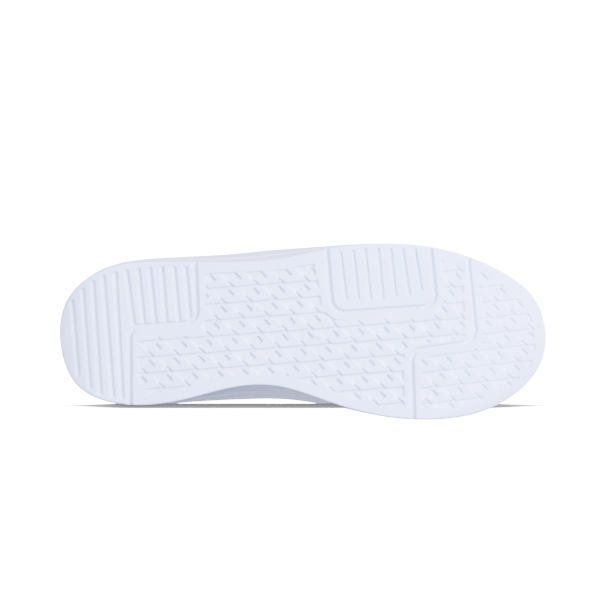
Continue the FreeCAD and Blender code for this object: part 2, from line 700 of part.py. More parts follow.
# ---- lace and eyelets ----
def eyelet(at, out, _):
    """A turned ring: a barrel through the layers and a flange on the eyestay."""
    flange = Part.makeCylinder(EYELET_FLANGE, 0.7, at + out * (OVERLAY_TO + 0.05), out)
    barrel = Part.makeCylinder(EYELET_HOLE - 0.06, 5.05, at - out * 3.6, out)
    bore = Part.makeCylinder(EYELET_BORE, 12, at - out * 6, out)
    return flange.fuse(barrel).cut(bore).removeSplitter()


def oval(centre, along, wide_way, size):
    """An elliptical section of the lace, square to its run."""
    along = along.normalize()
    wide = (wide_way - along * wide_way.dot(along)).normalize()
    thin = along.cross(wide)
    points = [centre + wide * (size[0] * math.cos(a)) + thin * (size[1] * math.sin(a))
              for a in [math.radians(30 * i) for i in range(12)]]
    return Part.Wire([interpolated(points, closed=True)])


IN_HOLE, OUT_OF_HOLE, FLAT, INSIDE = (1.4, 0.95), (1.9, 0.85), (2.7, 0.75), (1.7, 0.75)   # half sizes
LACE_OVER = OVERLAY_TO + 0.75 + 1.3     # height of a bar's middle over the shell's outer face
LACE_UNDER = 5.2                        # depth of the runs inside
LANE = 3.7                              # how far a run inside passes beside the eyelet between its ends
# The lace's way: row and side (0 lateral, 1 medial) of each eyelet in turn, from one tucked end to the other.
LACING = [(5, 1), (5, 0), (3, 0), (3, 1), (1, 1), (1, 0), (0, 0), (0, 1), (2, 1), (2, 0), (4, 0), (4, 1)]
TAIL = ((0.83, 0.3), (0.76, 0.8), (0.69, 1.3))   # the tucked ends: how far up the upper, how much further in
AGLET = (1.35, 9.0)                              # radius and length


def beside_shell(u, k, height):
    """A point at a height over the shell's outer face, or under it if negative."""
    return upper_point(u, k) + upper_normal(u, k) * height


def tail_points(row, side):
    """The end of the lace, tucked down inside along the lining."""
    u = EYELETS[row][side][2]
    return [beside_shell(u, k, -LACE_UNDER - deeper) for k, deeper in TAIL]


def bar_end(row, side):
    """A bar's way from inside, through its eyelet and over the edge of the throat."""
    at, out, u = EYELETS[row][side]
    forward = V(1, 0, 0)
    return [
        (at - out * (LACE_UNDER - 0.7), forward, IN_HOLE), (at - out * 2.0, forward, IN_HOLE),
        (at + out * 1.4, forward, IN_HOLE), (beside_shell(u, EYELET_K + 0.012, LACE_OVER), forward, OUT_OF_HOLE),
        (beside_shell(u, 0.955, LACE_OVER + 0.1), forward, FLAT), (beside_shell(u, 1.0, LACE_OVER), forward, FLAT),
    ]


def lace_route():
    """Places along the lace with the way its flat side runs and its half sizes there."""
    forward = V(1, 0, 0)
    route = [(p, forward, INSIDE) for p in tail_points(*LACING[0])[::-1]]
    for start, end in zip(LACING[0::2], LACING[1::2]):
        near, far = bar_end(*start), bar_end(*end)
        route += near
        for t in (0.25, 0.5, 0.75):
            crown = V(0, 0, 5 * t * (1 - t))
            route.append((near[-1][0] * (1 - t) + far[-1][0] * t + crown, forward, FLAT))
        route += far[::-1]
        after = LACING.index(end) + 1
        if after < len(LACING):
            route += inner_run(end, LACING[after])
    return route + [(p, forward, INSIDE) for p in tail_points(*LACING[-1])]


def inner_run(start, end):
    """The lace inside, from one eyelet to the next on the same side, past the one between them."""
    (a, out_a, _), (b, out_b, _) = EYELETS[start[0]][start[1]], EYELETS[end[0]][end[1]]
    low, high = a - out_a * LACE_UNDER, b - out_b * LACE_UNDER
    way = high - low
    beside = way.cross(out_a + out_b).normalize()
    if beside.z < 0:
        beside = beside * -1
    lane = {(3, 1): -LANE, (0, 2): LANE, (5, 3): -LANE, (2, 4): LANE}.get((start[0], end[0]), 0.0)
    points = []
    for t in (0.09, 0.3, 0.5, 0.7, 0.91):
        points.append((low + way * t + beside * (lane * min(1.0, 3.2 * t, 3.2 * (1 - t))), beside, INSIDE))
    return points


def lace():
    """The whole lace as one body: six bars over the tongue, the runs between them and both ends inside."""
    route = lace_route()
    last = len(route) - 1
    wires = []
    for i, (point, flat_way, size) in enumerate(route):
        along = route[min(i + 1, last)][0] - route[max(i - 1, 0)][0]
        wires.append(oval(point, along, flat_way, size))
    turns = [i for i in range(1, last) if (route[i][2] is INSIDE) != (route[i - 1][2] is INSIDE)]
    spans = zip([0] + turns, turns + [last])
    strands = [Part.makeLoft(wires[start:end + 1], True, True) for start, end in spans]
    return strands[0].fuse(strands[1:])


def aglets():
    """The tips that bind the lace's two ends."""
    made = []
    for end in (LACING[0], LACING[-1]):
        points = tail_points(*end)
        way = (points[-1] - points[-2]).normalize()
        made.append(Part.makeCylinder(AGLET[0], AGLET[1], points[-1] + way * 0.05, way))
    return Part.makeCompound(made)


# ---- assembly ----
PIECES = {
    "outsole": outsole,
    "midsole": midsole,
    "shank": lambda: shank_block(0.0),
    "strobel_board": lambda: foot_block(0.5, raised(footbed, 0.08), raised(footbed, STROBEL)),
    "sockliner": sockliner,
    "vamp": vamp,
    "vamp_lining": vamp_lining,
    "toe_puff": toe_puff,
    "toe_cap": toe_cap,
    "quarter_lateral": quarter_lateral,
    "quarter_medial": quarter_medial,
    "quarter_lining": quarter_lining,
    "collar_foam": collar_foam,
    "heel_counter": heel_counter,
    "foxing_lateral": lambda: foxing(STATIONS + 0.05, STATIONS + 8.0, STATIONS),
    "foxing_medial": lambda: foxing(STATIONS - 7.2, STATIONS - 0.05, STATIONS),
    "heel_tab": heel_tab,
    "eyestay_lateral": lambda: eyestay(7.9, TOE_TIP - SEAM_GAP, 7.9),
    "eyestay_medial": lambda: eyestay(TOE_TIP + SEAM_GAP, 25.0, 25.0),
    "side_bar_lateral": lambda: side_bar(8.2, 9.3, -0.9),
    "side_bar_medial": lambda: side_bar(23.3, 24.5, 0.9),
    "tongue_cover": lambda: tongue_layer(0.0, 0.2),
    "tongue_foam": lambda: tongue_layer(0.3, 0.73, 0.3, len(TONGUE) - 1.1, 0.94),
    "tongue_lining": lambda: tongue_layer(0.83, 1.0),
    "eyelets_lateral": lambda: Part.makeCompound([eyelet(*pair[0]) for pair in EYELETS]),
    "eyelets_medial": lambda: Part.makeCompound([eyelet(*pair[1]) for pair in EYELETS]),
    "lace": lace,
    "aglets": aglets,
}


def main():
    os.makedirs("parts", exist_ok=True)
    for name, make in PIECES.items():
        shape = make()
        box = shape.BoundBox
        print(f"{name:18s} solids {len(shape.Solids)} valid {shape.isValid()} volume {shape.Volume:9.0f} "
              f"x {box.XMin:7.1f} {box.XMax:7.1f} y {box.YMin:6.1f} {box.YMax:6.1f} z {box.ZMin:6.1f} {box.ZMax:6.1f}")
        shape.exportStep(f"parts/{name}.step")


main()
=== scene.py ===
import bpy
import bmesh
import math
import numpy as np
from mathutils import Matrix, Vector


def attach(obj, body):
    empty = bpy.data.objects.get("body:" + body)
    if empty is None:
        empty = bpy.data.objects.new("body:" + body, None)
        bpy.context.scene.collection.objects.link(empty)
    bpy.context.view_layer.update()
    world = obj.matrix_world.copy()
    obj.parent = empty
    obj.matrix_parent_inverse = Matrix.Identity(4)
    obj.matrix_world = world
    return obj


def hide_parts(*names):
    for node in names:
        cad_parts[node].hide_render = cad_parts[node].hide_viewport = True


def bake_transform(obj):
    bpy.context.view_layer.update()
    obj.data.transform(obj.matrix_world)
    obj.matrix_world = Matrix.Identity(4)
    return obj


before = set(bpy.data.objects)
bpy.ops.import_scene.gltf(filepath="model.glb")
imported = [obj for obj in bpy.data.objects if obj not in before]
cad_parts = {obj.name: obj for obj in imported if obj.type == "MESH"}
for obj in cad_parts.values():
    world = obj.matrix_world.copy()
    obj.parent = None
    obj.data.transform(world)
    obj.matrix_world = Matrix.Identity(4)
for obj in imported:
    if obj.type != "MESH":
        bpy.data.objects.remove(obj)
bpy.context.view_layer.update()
MM = 0.001

# The shoe's lines below are the CAD source's, in millimetres: +X toe, +Y inner side, +Z up.
# A station u runs round the shoe from the back of the heel along the outer side to the toe (16) and
# back along the inner side to 33; k runs up the upper from 0 at the sole to 1 at its opening.
STATIONS, TOE = 33, 16
OUTLINE = [
    (-150.0, 1.0), (-148.3, -12.3), (-142.4, -24.0), (-129.0, -35.4), (-110.1, -41.8), (-88.1, -42.9),
    (-65.0, -42.7), (-43.0, -42.6), (-19.2, -44.4), (3.0, -48.6), (27.0, -52.9), (53.0, -54.2),
    (77.0, -52.4), (101.6, -46.3), (125.0, -35.6), (143.0, -20.4), (150.0, 0.0), (147.5, 18.5),
    (137.0, 33.5), (120.0, 45.2), (100.0, 52.0), (77.0, 54.2), (53.0, 52.8), (30.0, 47.9),
    (9.0, 41.0), (-10.0, 35.0), (-29.0, 33.0), (-50.0, 36.0), (-72.0, 41.7), (-96.0, 45.3),
    (-119.0, 43.4), (-137.0, 35.0), (-147.0, 19.3),
]
FLARE = [
    (0, -0.6), (2, -0.3), (3.4, 0.6), (5, 2.4), (7, 5.4), (8, 6.0), (9, 3.4), (10, 0.6), (11, -0.4),
    (14, -0.8), (16, -0.8), (19, -0.8), (22, -0.3), (23, 0.6), (24, 4.0), (25, 7.8), (26, 9.4),
    (27, 7.2), (28, 2.6), (29, 0.2), (31, -0.4),
]
FLARE_AT = [(-2.0, 0.0), (4.0, 0.12), (10.0, 0.5), (18.0, 0.85), (27.0, 1.0), (42.0, 1.0)]
FOOTBED = [(-170, 23.5), (-120, 23.0), (-80, 21.8), (-30, 18.6), (20, 15.2), (60, 14.2), (95, 15.6),
           (125, 18.6), (148, 22.4), (170, 26.0)]
RIM = [(-170, 34.5), (-130, 33.0), (-80, 30.0), (-30, 27.6), (20, 25.6), (60, 25.2), (95, 26.4),
       (125, 29.2), (148, 32.6), (170, 36.0)]
OPENING = [
    (0, -139.0, 1.0, 91.0), (2, -131.0, -20.0, 88.5), (4, -108.0, -32.5, 79.5), (5.5, -82.0, -35.0, 74.0),
    (7, -55.0, -33.0, 79.0), (8.2, -34.0, -24.0, 94.5), (9.5, -3.0, -17.0, 86.0), (11, 27.0, -14.5, 76.0),
    (13, 41.5, -10.0, 71.2), (16, 48.0, 0.0, 69.0), (19, 41.5, 10.5, 71.2), (21, 27.0, 15.0, 76.0),
    (23, -3.0, 17.5, 86.0), (24.7, -34.0, 23.5, 94.5), (26.2, -55.0, 32.0, 80.0), (28, -82.0, 35.0, 75.5),
    (29.8, -108.0, 33.0, 80.5), (31.3, -131.0, 21.5, 88.5),
]
TOP_HANDLE = [
    (0, -7.0, 0.0, -25.0), (2, -5.5, -5.0, -24.0), (4, -2.0, -8.0, -22.0), (5.5, 0.0, -9.0, -19.0),
    (7, 1.0, -10.0, -22.0), (8.2, 3.0, -15.0, -22.0), (9.5, 6.0, -18.0, -17.0), (11, 12.0, -21.0, -12.0),
    (13, 36.0, -20.0, -5.0), (16, 62.0, 0.0, -7.0), (19, 36.0, 21.0, -5.0), (21, 12.0, 21.0, -12.0),
    (23, 6.0, 18.0, -17.0), (24.7, 3.0, 16.0, -22.0), (26.2, 1.0, 13.0, -22.0), (28, 0.0, 11.0, -19.0),
    (29.8, -2.0, 9.0, -22.0), (31.3, -5.5, 5.0, -24.0),
]
FOOT_HANDLE = [(0, 3.0, 27.0), (4, 2.0, 25.0), (8, 1.5, 23.0), (12, 1.5, 21.0), (16, 2.0, 22.0),
               (20, 1.5, 21.0), (25, 2.0, 23.0), (29, 2.0, 25.0)]
TONGUE = [
    (56.0, 60.2, 20.0, 44.0, 2.2), (48.0, 62.6, 21.5, 40.0, 2.6), (27.0, 71.4, 22.5, 34.0, 4.4),
    (-3.0, 82.4, 23.5, 31.0, 5.4), (-33.0, 94.0, 24.5, 32.0, 6.0), (-50.0, 103.8, 25.5, 36.0, 6.4),
    (-62.0, 114.5, 25.0, 40.0, 6.0),
]
TOE_SPRING, TOE_SPRING_FROM, HEEL_BEVEL, HEEL_BEVEL_FROM = 8.0, 70.0, 3.5, -118.0
LIP_TOP, LIP_WALL, RIM_WALL, RIM_GAP = 9.0, 3.0, 5.0, 0.8
STROBEL, SHELL, LINING_AT, LINING = 1.5, 1.3, 2.75, 0.9
OVERLAY = (0.12, 1.35)
EYELET_XS = [36.0 - 12.6 * row for row in range(6)]
EYELET_K = 0.885

# ---- tread, the same way: lattice, lug and zones ----
LUG_ALONG, LUG_ACROSS = 15.6, (-4.45, 10.2)
LUG = [
    (-4.9, -3.9), (-2.0, -0.6), (-2.2, 0.2), (-3.6, 0.75), (-9.6, 0.55), (-10.2, 0.7), (-6.9, 3.9),
    (-5.8, 4.15), (5.6, 3.7), (6.4, 3.4), (6.4, 2.9), (4.8, 1.5), (3.5, -0.2), (1.8, -2.2),
    (0.6, -3.2), (-0.6, -3.9),
]
MID_ZONE = [
    (-102.3, 3.9), (-59.8, 2.2), (-62.8, -4.0), (-60.1, -8.3), (-60.1, -34.8), (-57.3, -36.0),
    (-35.1, -36.8), (-10.5, -38.5), (6.8, -41.8), (8.0, -36.5), (10.2, -26.2), (11.5, -16.7),
    (13.4, -12.0), (19.7, -7.3), (33.9, -6.8), (65.6, -8.4), (79.5, -10.4), (86.2, -18.8),
    (85.8, -28.0), (85.0, -37.3), (92.0, -41.8), (98.4, -38.8), (98.6, -28.0), (99.6, -8.9),
    (100.0, 3.0), (87.4, 6.2), (67.6, 7.4), (62.5, 11.4), (61.9, 25.6), (62.5, 46.5), (45.0, 45.4),
    (23.7, 38.9), (4.8, 32.2), (-10.5, 27.1), (-36.3, 26.8), (-50.8, 28.3), (-68.6, 33.4),
    (-88.7, 37.8), (-94.4, 38.1), (-99.9, 33.3), (-102.3, 24.9),
]
TOE_ZONE = [
    (108.1, -36.0), (112.7, -35.7), (123.0, -28.6), (133.2, -19.9), (141.1, -8.8), (143.8, 2.2),
    (142.7, 16.4), (138.7, 24.3), (128.7, 33.6), (118.2, 39.4), (102.9, 44.0), (89.8, 47.2),
    (72.4, 46.8), (72.4, 17.2), (77.1, 15.3), (104.0, 11.3), (111.1, 6.2), (109.6, -18.3),
    (108.1, -28.6),
]
MID_LUGS, TOE_LUGS = ((-29.2, -13.2), -4.1), ((122.9, -13.6), -6.2)
HEEL_GROOVE = ([(-67.0, -50.0, 0), (-64.9, -5.6, 8), (-106.6, -3.0, 7), (-106.5, 50.0, 0)], 3.2)
PAD_GROOVE = ([(13.9, -56.0, 0), (18.0, -11.2, 9), (82.0, -15.6, 8), (77.6, -56.0, 0)], 3.0)
TOE_GROOVE = ([(100.8, -50.0, 0), (106.6, 6.2, 8), (66.4, 11.9, 7), (68.0, 58.0, 0)], 3.2)
HEEL_RIBS = [
    (-142.3, -18.8, -138.3, 27.4), (-135.8, -26.2, -131.2, 34.8), (-129.4, -30.8, -124.7, 38.2),
    (-122.9, -33.9, -117.0, 40.0), (-115.6, -36.3, -111.3, 40.7), (-108.7, -37.4, -104.3, -4.5),
    (-101.5, -38.2, -97.9, -4.8), (-94.4, -38.9, -90.9, -5.0), (-87.0, -39.4, -84.2, -5.2),
    (-79.5, -39.6, -76.3, -5.4), (-72.4, -39.6, -69.6, -7.4),
]
PAD_RIBS = [
    (23.0, -48.4, 26.5, -19.9), (30.8, -49.5, 34.0, -19.9), (38.0, -50.4, 41.5, -19.9),
    (46.2, -50.7, 49.0, -20.6), (53.8, -50.7, 56.9, -22.2), (61.2, -50.5, 65.2, -22.7),
    (68.8, -50.0, 72.8, -25.4),
]


# ---- curves ----
def spline(rows, period=None):
    """A smooth curve through rows of a station and values; periodic if a period is given."""
    rows = np.array(rows, float)
    at, val = rows[:, 0], rows[:, 1:]
    if period:
        at, val = np.append(at, at[0] + period), np.vstack([val, val[:1]])
    n, h = len(at), np.diff(at)
    a, b = np.zeros((n, n)), np.zeros((n, val.shape[1]))
    for i in range(1, n - 1):
        a[i, i - 1:i + 2] = h[i - 1], 2 * (h[i - 1] + h[i]), h[i]
        b[i] = 6 * ((val[i + 1] - val[i]) / h[i] - (val[i] - val[i - 1]) / h[i - 1])
    a[0, 0] = a[-1, -1] = 1
    if period:
        a[0, :2], a[0, -2] = (2 * (h[-1] + h[0]), h[0]), h[-1]
        b[0] = 6 * ((val[1] - val[0]) / h[0] - (val[-1] - val[-2]) / h[-1])
        a[-1, 0] = -1
    m = np.linalg.solve(a, b)

    def curve(u):
        u = np.asarray(u, float)
        if period:
            u = at[0] + np.mod(u - at[0], period)
        i = np.clip(np.searchsorted(at, u, "right") - 1, 0, n - 2)
        d, p, q = h[i][..., None], (at[i + 1] - u)[..., None], (u - at[i])[..., None]
        return ((m[i] * p ** 3 + m[i + 1] * q ** 3) / (6 * d)
                + (val[i] / d - m[i] * d / 6) * p + (val[i + 1] / d - m[i + 1] * d / 6) * q)

    return curve


def ramp(low, high, t):
    t = np.clip((np.asarray(t, float) - low) / (high - low), 0, 1)
    return t * t * (3 - 2 * t)


def run_along(points):
    """The distance along a path to each of its points."""
    return np.concatenate([[0], np.cumsum(np.linalg.norm(np.diff(points, axis=0), axis=1))])


def quarter_round(share):
    """Rises from 0 to 1 over a rounded edge as share goes from 0 to 1."""
    return np.sqrt(np.clip(1 - (1 - np.clip(share, 0, 1)) ** 2, 0, 1))


def unit(v):
    return v / np.maximum(np.linalg.norm(v, axis=-1, keepdims=True), 1e-9)


outline = spline([(i, x, y) for i, (x, y) in enumerate(OUTLINE)], STATIONS)
flare, flare_share = spline(FLARE, STATIONS), spline(FLARE_AT)
footbed, rim = spline(FOOTBED), spline(RIM)
opening, top_handle = spline(OPENING, STATIONS), spline(TOP_HANDLE, STATIONS)
foot_handle = spline(FOOT_HANDLE, STATIONS)


def ground(x):
    toe = np.maximum(0, x - TOE_SPRING_FROM) / (150 - TOE_SPRING_FROM)
    heel = np.maximum(0, HEEL_BEVEL_FROM - x) / (150 + HEEL_BEVEL_FROM)
    return TOE_SPRING * toe ** 2 + HEEL_BEVEL * heel ** 2


def outwards(u):
    along = outline(np.asarray(u) + 0.05) - outline(np.asarray(u) - 0.05)
    return unit(np.stack([along[..., 1], -along[..., 0]], -1))


def sidewall(u, height, inset=0.0):
    """Points of the sole's side at a height, or inside it by inset."""
    reach = flare(u)[..., 0] * flare_share(height)[..., 0] - inset
    xy = outline(u) + outwards(u) * reach[..., None]
    return np.concatenate([xy, np.broadcast_to(np.asarray(height, float), xy.shape[:-1])[..., None]], -1)


def upper(u, k):
    """The shell's outer face; k past 1 goes straight on along the surface."""
    u, k = np.broadcast_arrays(np.asarray(u, float), np.asarray(k, float))
    low = sidewall(u, np.full(u.shape, 42.0), RIM_WALL)
    low[..., 2] = footbed(low[..., 0])[..., 0] + STROBEL + 0.2
    handle = foot_handle(u)
    side = outwards(u) * handle[..., :1]
    a = low + np.concatenate([side, handle[..., 1:]], -1)
    high = opening(u)
    b = high + top_handle(u)
    t = np.clip(k, 0, 1)[..., None]
    j = 1 - t
    point = low * j ** 3 + a * (3 * j * j * t) + b * (3 * j * t * t) + high * t ** 3
    return point + (high - b) * 3 * np.maximum(k - 1, 0)[..., None]


def upper_normal(u, k):
    e, k = 0.02, np.minimum(k, 0.985)
    return unit(np.cross(upper(u + e, k) - upper(u - e, k), upper(u, k + e * 0.5) - upper(u, k - e * 0.5)))


def on_upper(u, k, height):
    return upper(u, k) + upper_normal(u, k) * np.asarray(height, float)[..., None]


def padding(u, k):
    u = np.mod(u, STATIONS)
    ankle = np.where(u < TOE, 1 - ramp(6.4, 8.0, u), ramp(24.9, 26.5, u))
    return 6.0 * ankle * ramp(0.42, 0.76, k) * (1 - 0.55 * ramp(0.7, 1.0, k))


def above_rim(u):
    """How far up the upper an overlay starts, to stay over the midsole's rim."""
    u = np.asarray(u, float)
    low, high = np.zeros(u.shape), np.full(u.shape, 0.5)
    for _ in range(20):
        middle = (low + high) / 2
        point = upper(u, middle)
        under = point[..., 2] < rim(point[..., 0])[..., 0] + 0.5
        low, high = np.where(under, middle, low), np.where(under, high, middle)
    return high


def station_at(x, k, low, high):
    rising = upper(low, k)[0] < upper(high, k)[0]
    for _ in range(40):
        middle = (low + high) / 2
        if (upper(middle, k)[0] < x) == rising:
            low = middle
        else:
            high = middle
    return (low + high) / 2


EYELETS = []
for eyelet_x in EYELET_XS:
    pair = [station_at(eyelet_x, EYELET_K, 8.0, 13.6), station_at(eyelet_x, EYELET_K, 25.0, 18.6)]
    EYELETS.append([(upper(u, EYELET_K), upper_normal(u, EYELET_K), u) for u in pair])


# ---- meshes ----
def mesh(name, verts, faces, materials, uv=None, merge=False, slots=None):
    """A mesh object from points in millimetres, with optional UVs in metres and material numbers."""
    data = bpy.data.meshes.new(name)
    data.from_pydata((np.asarray(verts, float) * MM).tolist(), [], [tuple(int(i) for i in f) for f in faces])
    for m in materials if isinstance(materials, (list, tuple)) else [materials]:
        data.materials.append(m)
    if slots is not None:
        data.polygons.foreach_set("material_index", np.asarray(slots, np.int32))
    if uv is not None:
        layer = data.uv_layers.new(name="UVMap")
        corners = np.empty(len(data.loops), np.int32)
        data.loops.foreach_get("vertex_index", corners)
        layer.data.foreach_set("uv", (np.asarray(uv)[corners] * MM).ravel())
    if merge:
        b = bmesh.new()
        b.from_mesh(data)
        bmesh.ops.remove_doubles(b, verts=b.verts, dist=2e-6)
        bmesh.ops.recalc_face_normals(b, faces=b.faces)
        b.to_mesh(data)
        b.free()
    data.polygons.foreach_set("use_smooth", np.ones(len(data.polygons), bool))
    data.update()
    obj = bpy.data.objects.new(name, data)
    bpy.context.scene.collection.objects.link(obj)
    return obj


def grid_faces(rows, cols, first=0, close=False, flip=False):
    """Quads of a grid of rows by cols vertices; close joins the last row to the first."""
    i = np.arange(rows if close else rows - 1)[:, None]
    j = np.arange(cols - 1)[None, :]
    a, b = i * cols + j, ((i + 1) % rows) * cols + j
    quads = np.stack([a, b, b + 1, a + 1], -1).reshape(-1, 4) + first
    return quads[:, ::-1] if flip else quads


def border_steps(length, radius, count):
    """Distances along a side, close together at both ends so that the edge can be rounded."""
    ends = np.array([0.0, 0.08, 0.3, 0.62, 1.0]) * radius
    middle = np.linspace(radius, length - radius, count)
    return np.concatenate([ends[:-1], middle, (length - ends[:-1])[::-1]])


def closed_sheet(name, uu, kk, across, upwards, heights, finish, lift=0.0):
    """A sheet on the upper, closed and with rounded edges, from its stations and its two heights."""
    half, middle = (heights[1] - heights[0]) / 2, (heights[1] + heights[0]) / 2
    from_side = np.minimum(across, across[-1] - across)[:, None]
    from_end = np.minimum(upwards, upwards[-1] - upwards)[None, :]
    reach = half * quarter_round(np.minimum(from_side, from_end) / half)
    verts = [on_upper(uu, kk, middle + side * reach + lift).reshape(-1, 3) for side in (1, -1)]
    rows, cols = len(across), len(upwards)
    faces = [grid_faces(rows, cols), grid_faces(rows, cols, rows * cols, flip=True)]
    uv = np.stack(np.meshgrid(across, upwards, indexing="ij"), -1).reshape(-1, 2)
    return mesh(name, np.concatenate(verts), np.concatenate(faces), finish, np.tile(uv, (2, 1)), merge=True)


def patch(name, u0, u1, low, high, heights, finish, nu=60, nk=16, wave=None):
    """A panel of the upper between two stations and two lines, which may be functions of the station."""
    half = (heights[1] - heights[0]) / 2
    length = run_along(upper(np.linspace(u0, u1, 200), 0.5))[-1]
    across = border_steps(length, half, nu)
    u = u0 + (u1 - u0) * across / length
    low, high = (line(u) if callable(line) else np.full(u.shape, float(line)) for line in (low, high))
    rise = np.linspace(np.mean(low), np.mean(high), 60)
    tall = run_along(upper(np.full(60, (u0 + u1) / 2), rise))[-1]
    upwards = border_steps(tall, half, nk)
    uu = np.repeat(u[:, None], len(upwards), 1)
    kk = low[:, None] + (high - low)[:, None] * (upwards / tall)[None, :]
    return closed_sheet(name, uu, kk, across, upwards, heights, finish, wave(uu, kk) if wave else 0.0)


def smooth_path(points, steps=6):
    """Points on a Catmull-Rom curve through the given ones, with the values given beside them."""
    p = np.asarray(points, float)
    p = np.vstack([2 * p[:1] - p[1:2], p, 2 * p[-1:] - p[-2:-1]])
    out = []
    for i in range(1, len(p) - 2):
        for t in np.arange(steps) / steps:
            a, b, c, d = p[i - 1:i + 3]
            bend = 2 * a - 5 * b + 4 * c - d
            twist = 3 * b - a - 3 * c + d
            out.append(0.5 * (2 * b + (c - a) * t + bend * t ** 2 + twist * t ** 3))
    return np.array(out + [p[-2]])


def stitches(name, points, normals, material, pitch=3.0, long=2.2, radius=0.36, sink=0.05):
    """A row of thread stitches along a path on a surface."""
    points = np.asarray(points)
    run = run_along(points)
    count = int((run[-1] - long) // pitch)
    if count < 1:
        return None
    at = (run[-1] - count * pitch) / 2 + np.arange(count + 1) * pitch

    def where(s):
        return np.stack([np.interp(s, run, points[:, c]) for c in range(3)], -1)

    n = unit(np.stack([np.interp(at, run, normals[:, c]) for c in range(3)], -1))
    along = unit(where(np.minimum(at + 0.5, run[-1])) - where(np.maximum(at - 0.5, 0)))
    side = np.cross(n, along)
    half_stitch = [(0.45, 1.0, 0.35), (0.86, 0.7, -0.1), (1.0, 0.0, -0.6)]
    rings = [(-a, size, lift) for a, size, lift in half_stitch[::-1]] + half_stitch
    verts, faces = [], []
    sides = 6
    for r, (a, size, lift) in enumerate(rings):
        for s in range(sides):
            w = 2 * math.pi * s / sides
            verts.append(where(at) + along * (a * long / 2) + side * (radius * size * math.cos(w))
                         + n * (radius * (size * math.sin(w) * 0.8 + lift) - sink))
    verts = np.stack(verts, 1).reshape(-1, 3)
    one = []
    for r in range(len(rings) - 1):
        for s in range(sides):
            t = (s + 1) % sides
            one.append((r * sides + s, r * sides + t, (r + 1) * sides + t, (r + 1) * sides + s))
    one = np.array(one)
    faces = (one[None] + (np.arange(len(at)) * len(rings) * sides)[:, None, None]).reshape(-1, 4)
    return mesh(name, verts, faces, material)


def inflate(obj, pinned, cap, pressure, frames=20):
    """Puffs a padded piece between its seams by cloth simulation, moving no point further than cap."""
    group = obj.vertex_groups.new(name="sewn")
    for weight in np.unique(np.round(pinned, 1)):
        if weight > 0:
            group.add(np.flatnonzero(np.round(pinned, 1) == weight).tolist(), float(weight), "REPLACE")
    modifier = obj.modifiers.new("filling", "CLOTH")
    modifier.settings.use_pressure = True
    modifier.settings.uniform_pressure_force = pressure
    modifier.settings.effector_weights.gravity = 0
    modifier.settings.vertex_group_mass = "sewn"
    modifier.point_cache.frame_start, modifier.point_cache.frame_end = 1, frames
    scene = bpy.context.scene
    for frame_number in range(1, frames + 1):
        scene.frame_set(frame_number)
    puffed = obj.evaluated_get(bpy.context.evaluated_depsgraph_get()).to_mesh()
    count = len(obj.data.vertices)
    before, after = np.empty(count * 3), np.empty(count * 3)
    obj.data.vertices.foreach_get("co", before)
    puffed.vertices.foreach_get("co", after)
    before, after = before.reshape(-1, 3), after.reshape(-1, 3)
    move = after - before
    size = np.maximum(np.linalg.norm(move, axis=1, keepdims=True), 1e-9)
    move *= np.minimum(1, cap * MM / size)
    obj.data.vertices.foreach_set("co", (before + move).ravel())
    obj.modifiers.remove(modifier)
    obj.vertex_groups.clear()
    scene.frame_set(1)
    obj.data.update()


# ---- materials ----
def material(name, colour, rough=0.6, sheen=0.0, spec=0.4):
    m = bpy.data.materials.new(name)
    m.use_nodes = True
    p = m.node_tree.nodes["Principled BSDF"]
    p.inputs["Base Color"].default_value = (*colour, 1)
    p.inputs["Roughness"].default_value = rough
    p.inputs["Specular IOR Level"].default_value = spec
    p.inputs["Sheen Weight"].default_value = sheen
    return m, m.node_tree, p


def node(tree, kind, **values):
    n = tree.nodes.new(kind)
    for key, value in values.items():
        if key in n.inputs:
            n.inputs[key].default_value = value
        else:
            setattr(n, key, value)
    return n


def coordinates(tree, uv=False):
    return tree.nodes.new("ShaderNodeTexCoord").outputs["UV" if uv else "Object"]


def noise(tree, where, scale, detail=3.0, rough=0.5):
    n = node(tree, "ShaderNodeTexNoise", Scale=scale, Detail=detail, Roughness=rough)
    tree.links.new(where, n.inputs["Vector"])
    return n.outputs["Fac"]


def tint(tree, p, fac, dark, light, low=0.35, high=0.65):
    """Base colour that varies between two colours."""
    r = tree.nodes.new("ShaderNodeValToRGB")
    r.color_ramp.elements[0].position, r.color_ramp.elements[1].position = low, high
    r.color_ramp.elements[0].color, r.color_ramp.elements[1].color = (*dark, 1), (*light, 1)
    tree.links.new(fac, r.inputs["Fac"])
    tree.links.new(r.outputs["Color"], p.inputs["Base Color"])


def bump(tree, p, layers):
    """Bumps in metres: each layer is a height output, its strength and its depth."""
    last = None
    for height, strength, depth in layers:
        b = node(tree, "ShaderNodeBump", Strength=strength, Distance=depth)
        tree.links.new(height, b.inputs["Height"])
        if last:
            tree.links.new(last, b.inputs["Normal"])
        last = b.outputs["Normal"]
    tree.links.new(last, p.inputs["Normal"])


def rubber():
    m, tree, p = material("outsole_rubber", (0.74, 0.76, 0.87), rough=0.55, spec=0.45)
    at = coordinates(tree)
    tint(tree, p, noise(tree, at, 28, 4), (0.725, 0.745, 0.86), (0.765, 0.785, 0.885), 0.3, 0.7)
    # the tread's recess floors are painted paler and bluer than the lug tops: painted light, standing in for
    # the light their sloped floors catch
    recess_highlight = node(tree, "ShaderNodeAttribute", attribute_name="recess_highlight")
    painted_highlight = node(tree, "ShaderNodeMix", data_type="RGBA", blend_type="SCREEN")
    painted_highlight.inputs["B"].default_value = (0.22, 0.23, 0.42, 1)
    tree.links.new(recess_highlight.outputs["Fac"], painted_highlight.inputs["Factor"])
    tree.links.new(p.inputs["Base Color"].links[0].from_socket, painted_highlight.inputs["A"])
    tree.links.new(painted_highlight.outputs["Result"], p.inputs["Base Color"])
    fine = noise(tree, at, 2600, 2)
    broad = noise(tree, at, 160, 3)
    bump(tree, p, [(fine, 0.25, 0.00006), (broad, 0.2, 0.00012)])
    return m


